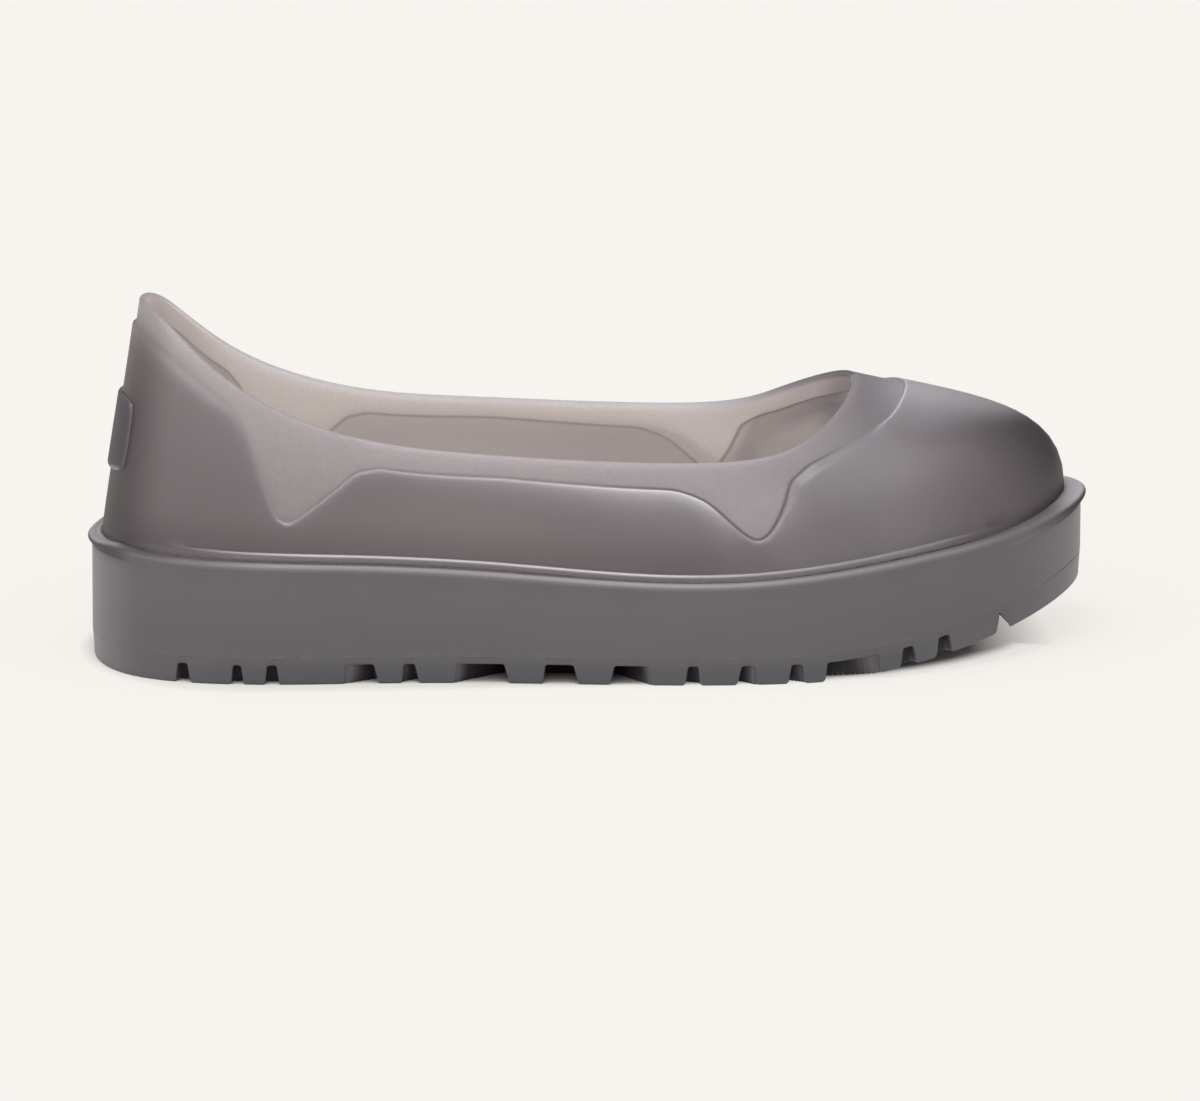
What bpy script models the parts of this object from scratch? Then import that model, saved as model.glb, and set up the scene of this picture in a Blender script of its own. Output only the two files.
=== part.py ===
"""Moulded overshoe for the right foot, worn over a soft boot, built in metres with +Z up.

The toe points to +X and the outer side of the foot faces -Y. The shoe stands on its tread, and the origin
is on the floor under the middle of its box. The sizes below are in millimetres, with lengths from the back
of the heel.
"""

import math
from collections import namedtuple

import bmesh
import bpy
import numpy as np
from mathutils import Matrix, Vector

MM = 0.001
UP = np.array([0.0, 0.0, 1.0])

# Widest step between two columns of faces, measured round the rim of the sole
COLUMN_STEP = 7.0

# Steps for reading a direction off a curve, and points for measuring along one
SHORT_STEP = 0.5
SHORT_SHARE = 0.01
WALL_SAMPLES = 41
COLLAR_SAMPLES = 300

# One row for each section round the shoe, from the heel along the outer side to the toe and back on the
# inner side.
# rim_x, rim_y: outermost line of the sole's rolled lip in plan. rim_z: height of that line.
# top_x, top_y, top_z: edge of the collar.
# inset: how far the foot of the upper's wall stands in from the rim.
# rise, flare: length of the wall's lower curve, and its outward lean in degrees.
# reach, drop: length of the wall's upper curve, and its fall from the collar in degrees below level.
Section = namedtuple("Section", "name rim_x rim_y rim_z top_x top_y top_z inset rise flare reach drop")
SECTIONS = (
    Section("heel_back", 0.0, 0.0, 33.1, 16.0, 0.0, 104.7, 5.0, 22.0, -8.0, 22.0, 82.0),
    Section("heel_corner_outer", 10.0, -29.3, 33.6, 22.8, -17.6, 100.6, 4.6, 21.0, -6.0, 21.0, 80.0),
    Section("heel_outer", 46.0, -44.0, 32.3, 46.5, -28.2, 81.6, 5.2, 16.0, 0.0, 15.0, 66.0),
    Section("quarter_outer", 78.0, -45.4, 31.2, 76.5, -34.4, 70.0, 5.3, 13.0, 2.0, 12.0, 64.0),
    Section("waist_outer", 112.0, -47.5, 29.4, 112.0, -38.4, 65.4, 5.4, 12.0, 4.0, 10.0, 62.0),
    Section("ball_outer", 184.0, -56.0, 26.7, 181.0, -39.6, 62.2, 5.4, 12.0, 7.0, 11.0, 64.0),
    Section("toe_outer", 242.0, -46.0, 32.0, 206.0, -34.5, 68.0, 6.2, 20.0, 6.0, 22.0, 28.0),
    Section("toe_corner_outer", 278.6, -21.5, 36.4, 218.5, -17.5, 75.6, 7.0, 23.0, 4.0, 34.5, 18.0),
    Section("toe_tip", 291.9, 6.0, 39.4, 222.0, 1.0, 78.6, 7.4, 24.5, 2.0, 40.0, 14.0),
    Section("toe_corner_inner", 281.6, 32.0, 36.9, 218.5, 18.5, 75.8, 7.0, 23.0, 4.0, 34.5, 18.0),
    Section("toe_inner", 246.0, 51.6, 32.2, 206.0, 34.5, 68.5, 6.2, 20.0, 6.0, 22.0, 28.0),
    Section("ball_inner", 186.0, 55.2, 26.8, 181.0, 39.6, 62.7, 5.4, 12.0, 7.0, 11.0, 64.0),
    Section("waist_inner", 118.0, 45.0, 29.2, 112.0, 38.4, 66.0, 5.4, 12.0, 4.0, 10.0, 62.0),
    Section("quarter_inner", 80.0, 43.4, 31.2, 76.5, 34.4, 70.7, 5.3, 13.0, 2.0, 12.0, 64.0),
    Section("heel_inner", 48.0, 42.6, 32.3, 46.5, 28.2, 82.4, 5.2, 16.0, 0.0, 15.0, 66.0),
    Section("heel_corner_inner", 11.0, 29.0, 32.3, 22.8, 17.6, 101.2, 4.6, 21.0, -6.0, 21.0, 80.0),
)

# How far a section's plane is drawn from the line between collar and foot towards square to the rim
OUTWARD_PULL = 8.0

# Upper: a thin band under the collar, and a thicker panel that stands proud below it and ends in a bead
# along the sides of its foot
BAND_WALL = 1.8
PANEL_RISE = 1.0
STEP_RUN = 0.8
COLLAR_ROUND = 0.6
COLLAR_FLAT = 0.7
BEAD_HEIGHT = 2.2
BEAD_RADIUS = 1.1
BEAD_CREST = 0.55
BEAD_PROUD = 0.9
BEAD_FADE_HEEL = (14.0, 46.0)
BEAD_FADE_TOE = (240.0, 272.0)
PANEL_ROWS = 8
BAND_ROWS = 2
INNER_ROWS = 5

# Lower edge of the band, the same on both sides. run: distance along the collar's edge from the back of
# the heel. depth: how far the band reaches down the wall there.
BandEdge = namedtuple("BandEdge", "name run depth")
BAND_EDGES = (
    BandEdge("heel", 0.0, 7.6),
    BandEdge("heel_corner", 30.0, 6.6),
    BandEdge("rear_shoulder", 47.0, 6.8),
    BandEdge("rear_tongue_start", 51.4, 11.0),
    BandEdge("rear_tongue_back", 59.0, 31.2),
    BandEdge("rear_tongue_tip", 61.7, 32.4),
    BandEdge("rear_tongue_front", 65.2, 30.0),
    BandEdge("rear_tongue_end", 84.4, 10.4),
    BandEdge("quarter", 91.0, 7.8),
    BandEdge("waist", 128.0, 6.5),
    BandEdge("front_shoulder", 177.0, 8.0),
    BandEdge("front_tongue_start", 185.4, 11.6),
    BandEdge("front_tongue_back", 193.2, 23.2),
    BandEdge("front_tongue_tip", 194.9, 24.6),
    BandEdge("front_tongue_front", 197.0, 23.0),
    BandEdge("front_tongue_end", 204.6, 10.4),
    BandEdge("throat_shoulder", 210.0, 8.4),
    BandEdge("throat_side", 222.0, 9.7),
    BandEdge("throat_corner", 236.0, 13.8),
    BandEdge("throat_front", 260.0, 15.7),
)

# Sole: a cup whose wall ends in a rolled lip, with a ledge inside the lip that carries the upper
# LIP: how far each line of the lip stands in from the rim, and its height over the rim
LipLine = namedtuple("LipLine", "name inset height")
LIP = (
    LipLine("under", 0.8, -4.2),
    LipLine("under_round", 0.3, -2.4),
    LipLine("rim", 0.0, 0.0),
    LipLine("shoulder", 0.5, 1.9),
    LipLine("top_round", 1.5, 3.0),
    LipLine("top", 2.7, 3.3),
    LipLine("groove", 3.3, 2.4),
)
WALL_INSET = 0.9
TOE_TUCK = 0.5
TOE_TUCK_FROM = (225.0, 290.0)
LEDGE_HEIGHT = 2.4
LEDGE_PAST_UPPER = 0.4
CUP_FILLET = 5.0
FILLET_MIDDLE = 1 - math.sqrt(0.5)
FLOOR_THICKNESS = 5.4

# Tread: flat under heel and ball, then curving up to the toe
TREAD_HEIGHT = 7.6
TREAD_DRAFT = 0.4
TREAD_BEVEL = 0.9
ROCKER_START = 205.0
ROCKER_POWER = 1.6
TOE_SPRING = 17.6
SEAM = 0.3

# Notches between the lugs along each side. middle: from the heel along the shoe.
# width: along the edge of the sole. reach: how far the notch runs in from the edge.
Notch = namedtuple("Notch", "middle width reach")
NOTCHES = (
    Notch(25.6, 4.2, 5.8),
    Notch(41.3, 3.3, 5.8),
    Notch(51.3, 3.8, 5.8),
    Notch(76.7, 9.6, 7.8),
    Notch(90.7, 4.7, 6.8),
    Notch(111.0, 15.0, 15.8),
    Notch(133.2, 9.8, 14.8),
    Notch(153.1, 11.4, 14.8),
    Notch(170.7, 4.1, 6.8),
    Notch(186.3, 5.2, 7.8),
    Notch(200.7, 4.4, 6.8),
    Notch(217.3, 16.2, 9.8),
    Notch(234.0, 4.8, 5.8),
    Notch(245.0, 5.0, 5.8),
    Notch(263.8, 5.0, 21.5),
)
NOTCH_DEPTH = 5.6
NOTCH_TAPER = 0.8
CUT_MARGIN = 4.0

# Middle of the tread: an island inside a channel, cut across into bars
CHANNEL_INSET = 20.0
CHANNEL_WIDTH = 4.0
CHANNEL_DEPTH = 4.6
BAR_FIRST = 34.0
BAR_LAST = 262.0
BAR_PITCH = 19.0
BAR_GAP = 4.0

# Plate on the back of the heel: half of its width, its lower and upper edge up the wall, its thickness, and
# how far its edges draw in at the corners
PLATE_HALF_WIDTH = 21.0
PLATE_LOW = 18.5
PLATE_HIGH = 42.0
PLATE_THICKNESS = 1.0
PLATE_CORNER = 1.5
PLATE_CORNER_POWER = 4
PLATE_STEPS_ACROSS = 7
PLATE_STEPS_UP = 4

# Moulded rubber of each part. colour: 8-bit sRGB values. sharp_angle: the least angle of an edge that shows
# as sharp, in degrees.
Rubber = namedtuple("Rubber", "name colour roughness sharp_angle")
UPPER_RUBBER = Rubber("smoky_rubber_upper", (121, 110, 116), 0.42, 50.0)
SOLE_RUBBER = Rubber("smoky_rubber_sole", (107, 101, 103), 0.40, 50.0)
OUTSOLE_RUBBER = Rubber("smoky_rubber_outsole", (104, 101, 104), 0.48, 40.0)
PLATE_RUBBER = Rubber("smoky_rubber_plate", (117, 111, 114), 0.42, 40.0)


def closed_spline(keys, values, period):
    """A smooth closed curve through rows of values at rising keys, as a function of the key."""
    keys = np.asarray(keys, float)
    values = np.asarray(values, float)
    count = len(keys)
    gaps = np.diff(np.append(keys, keys[0] + period))
    slopes = (np.roll(values, -1, axis=0) - values) / gaps[:, None]
    system = np.zeros((count, count))
    for row in range(count):
        system[row, row - 1] = gaps[row]
        system[row, row] = 2 * (gaps[row - 1] + gaps[row])
        system[row, (row + 1) % count] = gaps[row - 1]
    wanted = 3 * (gaps[:, None] * np.roll(slopes, 1, axis=0) + np.roll(gaps, 1)[:, None] * slopes)
    tangents = np.linalg.solve(system, wanted)

    def at(key):
        key = (key - keys[0]) % period + keys[0]
        row = int(np.searchsorted(keys, key, side="right")) - 1
        after = (row + 1) % count
        t = (key - keys[row]) / gaps[row]
        return (
            values[row] * (1 + 2 * t) * (1 - t) ** 2
            + values[after] * t * t * (3 - 2 * t)
            + tangents[row] * gaps[row] * t * (1 - t) ** 2
            - tangents[after] * gaps[row] * t * t * (1 - t)
        )

    return at


def smooth_share(value, start, end):
    """0 before start, 1 after end, and a smooth ramp between them."""
    t = min(max((value - start) / (end - start), 0.0), 1.0)
    return t * t * (3 - 2 * t)


# The key of a section is its distance round the rim from the back of the heel
rim_corners = np.array([(s.rim_x, s.rim_y) for s in SECTIONS])
rim_steps = np.linalg.norm(np.roll(rim_corners, -1, axis=0) - rim_corners, axis=1)
section_keys = np.concatenate([[0.0], np.cumsum(rim_steps)[:-1]])
AROUND = float(rim_steps.sum())
TOE_KEY = float(section_keys[[s.name for s in SECTIONS].index("toe_tip")])
section_values = closed_spline(section_keys, [s[1:] for s in SECTIONS], AROUND)


def section_at(key):
    return Section("", *section_values(key))


def outward_at(key):
    """Level direction that points out of the shoe, square to the rim."""
    along = section_values(key + SHORT_STEP)[:2] - section_values(key - SHORT_STEP)[:2]
    along /= np.linalg.norm(along)
    return np.array([along[1], -along[0], 0.0])


def inside_rim(key, inset, height):
    """A point that far in from the rim, at that height over the floor."""
    section = section_at(key)
    point = np.array([section.rim_x, section.rim_y, 0.0]) - outward_at(key) * inset
    return point + UP * height


def wall_point(key, t):
    """A point on the outer face of the band's wall, with t from 0 at its foot to 1 at the collar's edge."""
    section = section_at(key)
    foot = inside_rim(key, section.inset, section.rim_z + LEDGE_HEIGHT + SEAM)
    top = np.array([section.top_x, section.top_y, section.top_z])
    level = (foot - top) * (1, 1, 0) + outward_at(key) * OUTWARD_PULL
    level /= np.linalg.norm(level)
    flare = math.radians(section.flare)
    drop = math.radians(section.drop)
    low = foot + section.rise * (math.cos(flare) * UP + math.sin(flare) * level)
    high = top + section.reach * (math.cos(drop) * level - math.sin(drop) * UP)
    s = 1 - t
    return s**3 * foot + 3 * s * s * t * low + 3 * s * t * t * high + t**3 * top


def wall_normal(key, t):
    along = wall_point(key + SHORT_STEP, t) - wall_point(key - SHORT_STEP, t)
    upward = wall_point(key, t + SHORT_SHARE) - wall_point(key, t - SHORT_SHARE)
    normal = np.cross(along, upward)
    return normal / np.linalg.norm(normal)


def wall_scale(key):
    """Lengths up the wall from its foot, beside the values of t that they belong to."""
    ts = np.linspace(0.0, 1.0, WALL_SAMPLES)
    points = np.array([wall_point(key, t) for t in ts])
    lengths = np.concatenate([[0.0], np.cumsum(np.linalg.norm(np.diff(points, axis=0), axis=1))])
    return lengths, ts


def off_wall(key, length, offset, scale):
    """A point at that length up the wall, moved out of its surface by the offset."""
    t = np.interp(length, *scale)
    return wall_point(key, t) + wall_normal(key, t) * offset


def collar_runs(keys):
    """Distance along the collar's edge from the first of these keys to each of them."""
    edge = np.array([wall_point(key, 1.0) for key in keys])
    return np.concatenate([[0.0], np.cumsum(np.linalg.norm(np.diff(edge, axis=0), axis=1))])


outer_keys = np.linspace(0.0, TOE_KEY, COLLAR_SAMPLES)
inner_keys = np.linspace(AROUND, TOE_KEY, COLLAR_SAMPLES)
outer_runs = collar_runs(outer_keys)
inner_runs = collar_runs(inner_keys)
inner_runs *= outer_runs[-1] / inner_runs[-1]


def run_at(key):
    """Distance along the collar from the heel, with the inner side scaled to the outer one's length."""
    if key <= TOE_KEY:
        return np.interp(key, outer_keys, outer_runs)
    return np.interp(-key, -inner_keys, inner_runs)


def band_depth(key):
    return np.interp(run_at(key), [e.run for e in BAND_EDGES], [e.depth for e in BAND_EDGES])


def column_keys():
    """Keys of the columns: one at each corner of the band's edge, and the same count on both sides."""
    corner_runs = [e.run for e in BAND_EDGES[1:-1]]
    outer = [0.0, *np.interp(corner_runs, outer_runs, outer_keys), TOE_KEY]
    inner = [AROUND, *np.interp(corner_runs, inner_runs, inner_keys), TOE_KEY]
    outer_side = []
    inner_side = []
    for row in range(len(outer) - 1):
        steps = max(1, math.ceil((outer[row + 1] - outer[row]) / COLUMN_STEP))
        outer_side += list(np.linspace(outer[row], outer[row + 1], steps, endpoint=False))
        inner_side += list(np.linspace(inner[row], inner[row + 1], steps, endpoint=False))
    return outer_side + [TOE_KEY] + inner_side[:0:-1]


def rocker(x):
    """Height of the tread's underside over the floor."""
    lifted = max(x - ROCKER_START, 0.0) / (rim_corners[:, 0].max() - ROCKER_START)
    return TOE_SPRING * lifted**ROCKER_POWER


def upper_column(key):
    """The wall's cross-section: up the panel and band outside, over the collar, and down inside."""
    scale = wall_scale(key)
    top = scale[0][-1]
    x = section_at(key).rim_x
    bead = BEAD_PROUD * smooth_share(x, *BEAD_FADE_HEEL) * (1 - smooth_share(x, *BEAD_FADE_TOE))
    step = top - band_depth(key)
    bead_top = BEAD_HEIGHT + BEAD_RADIUS
    rows = [(0.0, PANEL_RISE), (BEAD_HEIGHT - BEAD_RADIUS, PANEL_RISE)]
    rows += [(BEAD_HEIGHT - BEAD_CREST, PANEL_RISE + bead), (BEAD_HEIGHT + BEAD_CREST, PANEL_RISE + bead)]
    rows += [(length, PANEL_RISE) for length in np.linspace(bead_top, step - STEP_RUN, PANEL_ROWS)]
    rows += [(length, 0.0) for length in np.linspace(step, top - COLLAR_ROUND, BAND_ROWS + 2)]
    rows += [(top, -(BAND_WALL - COLLAR_FLAT) / 2), (top, -(BAND_WALL + COLLAR_FLAT) / 2)]
    rows += [(length, -BAND_WALL) for length in np.linspace(top - COLLAR_ROUND, 0.0, INNER_ROWS + 2)]
    return [off_wall(key, length, offset, scale) for length, offset in rows]


def edge_inset(x):
    """How far the sole's side stands in from the rim at its foot, where the toe tucks under."""
    return WALL_INSET + TOE_TUCK * smooth_share(x, *TOE_TUCK_FROM)


def sole_column(key):
    """From the edge of the sole's underside, up its side, over the lip and down to the floor inside."""
    section = section_at(key)
    foot = edge_inset(section.rim_x)
    cup = section.inset + BAND_WALL + LEDGE_PAST_UPPER
    under = inside_rim(key, foot, 0.0)
    floor_edge = inside_rim(key, cup + CUP_FILLET, 0.0)
    floor = rocker(floor_edge[0]) + TREAD_HEIGHT + SEAM + FLOOR_THICKNESS
    column = [under + UP * (rocker(under[0]) + TREAD_HEIGHT + SEAM)]
    column += [inside_rim(key, line.inset, section.rim_z + line.height) for line in LIP]
    column += [inside_rim(key, cup, section.rim_z + LEDGE_HEIGHT)]
    column += [inside_rim(key, cup, floor + CUP_FILLET)]
    column += [inside_rim(key, cup + FILLET_MIDDLE * CUP_FILLET, floor + FILLET_MIDDLE * CUP_FILLET)]
    column += [floor_edge + UP * floor]
    return column


def outsole_column(key):
    """From the edge of the tread's upper face down its side to the edge of its underside."""
    foot = edge_inset(section_at(key).rim_x)
    top = inside_rim(key, foot, 0.0)
    side = inside_rim(key, foot + TREAD_DRAFT, 0.0)
    under = inside_rim(key, foot + TREAD_DRAFT + TREAD_BEVEL, 0.0)
    return [
        top + UP * (rocker(top[0]) + TREAD_HEIGHT),
        side + UP * (rocker(side[0]) + TREAD_BEVEL),
        under + UP * rocker(under[0]),
    ]


def channel_column(key):
    """Cross-section of the channel round the middle of the tread."""
    outer = inside_rim(key, CHANNEL_INSET, 0.0)
    inner = inside_rim(key, CHANNEL_INSET + CHANNEL_WIDTH, 0.0)
    return [
        outer + UP * (rocker(outer[0]) - CUT_MARGIN),
        outer + UP * (rocker(outer[0]) + CHANNEL_DEPTH),
        inner + UP * (rocker(inner[0]) + CHANNEL_DEPTH),
        inner + UP * (rocker(inner[0]) - CUT_MARGIN),
    ]


def new_object(name, mesh_builder, collection, parent):
    mesh = bpy.data.meshes.new(name)
    mesh_builder.to_mesh(mesh)
    mesh_builder.free()
    item = bpy.data.objects.new(name, mesh)
    collection.objects.link(item)
    item.parent = parent
    return item


def loft(columns, closed):
    """Skin over the columns round the shoe. An open column has its two ends filled across."""
    build = bmesh.new()
    grid = [[build.verts.new(Vector(point) * MM) for point in column] for column in columns]
    count = len(grid)
    rows = len(grid[0])
    for i in range(count):
        here = grid[i]
        after = grid[(i + 1) % count]
        for j in range(rows if closed else rows - 1):
            above = (j + 1) % rows
            build.faces.new((here[j], after[j], after[above], here[above]))
    if not closed:
        toe = count // 2
        for end in (0, rows - 1):
            for i in range(toe):
                pairs = (i, i + 1, count - i - 1, (count - i) % count)
                corners = [grid[column][end] for column in pairs]
                build.faces.new(list(dict.fromkeys(corners)))
    bmesh.ops.recalc_face_normals(build, faces=build.faces)
    return build


def tapered_block(build, place, length, width, height, taper):
    """A block with its foot at the place's origin, narrower at the top by the taper on each side."""
    made = bmesh.ops.create_cube(build, size=1.0)["verts"]
    for vert in made:
        narrow = taper if vert.co.z > 0 else 0.0
        side = math.copysign(width / 2 - narrow, vert.co.y)
        vert.co = place @ (Vector((vert.co.x * length, side, (vert.co.z + 0.5) * height)) * MM)


def tread_frame(x, y, direction):
    """Frame on the tread's underside, with X along a level direction and Z square to the tread."""
    slope = (rocker(x + SHORT_STEP) - rocker(x - SHORT_STEP)) / (2 * SHORT_STEP)
    square = Vector((-slope, 0.0, 1.0)).normalized()
    along = Vector(direction)
    along = (along - square * along.dot(square)).normalized()
    across = square.cross(along)
    turn = Matrix((along, across, square)).transposed().to_4x4()
    return Matrix.Translation(Vector((x, y, rocker(x))) * MM) @ turn


def side_keys(x):
    """Keys of the outer and the inner point of the rim at that length along the shoe."""
    outer = outer_keys[np.argmin([abs(section_at(key).rim_x - x) for key in outer_keys])]
    inner = inner_keys[np.argmin([abs(section_at(key).rim_x - x) for key in inner_keys])]
    return outer, inner


def notch_blocks():
    build = bmesh.new()
    for notch in NOTCHES:
        for key in side_keys(notch.middle):
            outward = outward_at(key)
            middle = inside_rim(key, (notch.reach - CUT_MARGIN) / 2, 0.0)
            place = tread_frame(middle[0], middle[1], outward)
            place = place @ Matrix.Translation((0.0, 0.0, -CUT_MARGIN * MM))
            height = NOTCH_DEPTH + CUT_MARGIN
            taper = NOTCH_TAPER * height / NOTCH_DEPTH
            foot_width = notch.width + 2 * (taper - NOTCH_TAPER)
            tapered_block(build, place, notch.reach + CUT_MARGIN, foot_width, height, taper)
    return build


def bar_blocks():
    """Cuts across the island, from the middle of the channel on one side to its middle on the other."""
    build = bmesh.new()
    for x in np.arange(BAR_FIRST, BAR_LAST, BAR_PITCH):
        outer, inner = [inside_rim(key, CHANNEL_INSET + CHANNEL_WIDTH / 2, 0.0) for key in side_keys(x)]
        place = tread_frame(x, (outer[1] + inner[1]) / 2, (0.0, 1.0, 0.0))
        place = place @ Matrix.Translation((0.0, 0.0, -CUT_MARGIN * MM))
        tapered_block(build, place, inner[1] - outer[1], BAR_GAP, CHANNEL_DEPTH + CUT_MARGIN, 0.0)
    return build


def plate_surface():
    """The heel plate's back face: a rounded rectangle laid on the panel, a seam's width off it."""
    build = bmesh.new()
    half_up = (PLATE_HIGH - PLATE_LOW) / 2
    middle_up = (PLATE_HIGH + PLATE_LOW) / 2
    grid = []
    for i in range(-PLATE_STEPS_ACROSS, PLATE_STEPS_ACROSS + 1):
        u = i / PLATE_STEPS_ACROSS
        column = []
        for j in range(-PLATE_STEPS_UP, PLATE_STEPS_UP + 1):
            v = j / PLATE_STEPS_UP
            side = u * (PLATE_HALF_WIDTH - PLATE_CORNER * v**PLATE_CORNER_POWER)
            up = middle_up + v * (half_up - PLATE_CORNER * u**PLATE_CORNER_POWER)
            key = side % AROUND
            point = off_wall(key, up, PANEL_RISE + SEAM, wall_scale(key))
            column.append(build.verts.new(Vector(point) * MM))
        grid.append(column)
    for i in range(len(grid) - 1):
        for j in range(len(grid[0]) - 1):
            build.faces.new((grid[i][j], grid[i + 1][j], grid[i + 1][j + 1], grid[i][j + 1]))
    return build


def linear(value):
    share = value / 255
    return share / 12.92 if share <= 0.04045 else ((share + 0.055) / 1.055) ** 2.4


def finish(item, rubber):
    material = bpy.data.materials.new(rubber.name)
    material.use_nodes = True
    shader = material.node_tree.nodes["Principled BSDF"]
    shader.inputs["Base Color"].default_value = (*[linear(value) for value in rubber.colour], 1.0)
    shader.inputs["Roughness"].default_value = rubber.roughness
    shader.inputs["Metallic"].default_value = 0.0
    item.data.materials.append(material)
    item.data.shade_smooth()
    item.data.set_sharp_from_angle(angle=math.radians(rubber.sharp_angle))


def cut(item, cutter):
    cutter.hide_render = True
    cutter.display_type = "WIRE"
    modifier = item.modifiers.new(cutter.name, "BOOLEAN")
    modifier.operation = "DIFFERENCE"
    modifier.solver = "EXACT"
    modifier.object = cutter


for old in list(bpy.data.objects):
    bpy.data.objects.remove(old, do_unlink=True)

shoe = bpy.data.collections.new("overshoe")
cutters = bpy.data.collections.new("overshoe_cutters")
bpy.context.scene.collection.children.link(shoe)
bpy.context.scene.collection.children.link(cutters)

# The parts are lofted in the sizes' own frame, and the empty sets them over the origin
columns = column_keys()
rim = np.array([inside_rim(key, 0.0, 0.0) for key in columns])
middle = (rim.min(axis=0) + rim.max(axis=0)) / 2
heel = bpy.data.objects.new("heel_frame", None)
heel.location = Vector(-middle) * MM
shoe.objects.link(heel)

upper = new_object("upper", loft([upper_column(key) for key in columns], True), shoe, heel)
finish(upper, UPPER_RUBBER)

sole = new_object("sole", loft([sole_column(key) for key in columns], False), shoe, heel)
finish(sole, SOLE_RUBBER)

outsole = new_object("outsole", loft([outsole_column(key) for key in columns], False), shoe, heel)
finish(outsole, OUTSOLE_RUBBER)
channel_loop = loft([channel_column(key) for key in columns[::2]], True)
cut(outsole, new_object("side_notches", notch_blocks(), cutters, heel))
cut(outsole, new_object("tread_channel", channel_loop, cutters, heel))
cut(outsole, new_object("tread_bars", bar_blocks(), cutters, heel))

heel_plate = new_object("heel_plate", plate_surface(), shoe, heel)
finish(heel_plate, PLATE_RUBBER)
plate_body = heel_plate.modifiers.new("thickness", "SOLIDIFY")
plate_body.thickness = PLATE_THICKNESS * MM
plate_body.offset = 1.0
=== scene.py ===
"""A low moulded overshoe for the right foot: its looks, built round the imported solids.

Sizes are in millimetres from the back of the heel, with the toe at +X, the outer side of the foot at -Y and
the floor at Z = 0. Each piece is shaped in those sizes, and goes into the frame's metres with its mesh.
"""

import math
from collections import namedtuple

import bmesh
import bpy
import numpy as np
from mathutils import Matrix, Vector


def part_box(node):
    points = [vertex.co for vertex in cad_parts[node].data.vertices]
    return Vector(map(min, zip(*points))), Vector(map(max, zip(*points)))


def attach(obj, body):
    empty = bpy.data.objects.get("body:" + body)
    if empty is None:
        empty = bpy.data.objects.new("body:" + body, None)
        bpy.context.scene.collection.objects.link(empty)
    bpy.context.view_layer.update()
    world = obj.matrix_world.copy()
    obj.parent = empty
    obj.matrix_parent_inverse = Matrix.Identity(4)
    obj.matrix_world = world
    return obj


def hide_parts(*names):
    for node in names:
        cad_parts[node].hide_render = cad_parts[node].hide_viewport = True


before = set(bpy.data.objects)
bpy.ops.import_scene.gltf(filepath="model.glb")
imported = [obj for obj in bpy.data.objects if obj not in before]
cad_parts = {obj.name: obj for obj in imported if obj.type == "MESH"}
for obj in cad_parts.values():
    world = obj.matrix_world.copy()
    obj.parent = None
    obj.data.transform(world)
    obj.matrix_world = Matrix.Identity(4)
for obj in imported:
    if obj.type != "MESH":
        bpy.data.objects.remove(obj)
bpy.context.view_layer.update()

# Tread layer
# The outsole lies under the cup of the sole, moulded from the same smoky rubber with a matt skin. Lugs stand
# along both sides between notches with rounded corners, and the front curves up from the floor to the toe.
MM = 0.001
UP = np.array([0.0, 0.0, 1.0])

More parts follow.
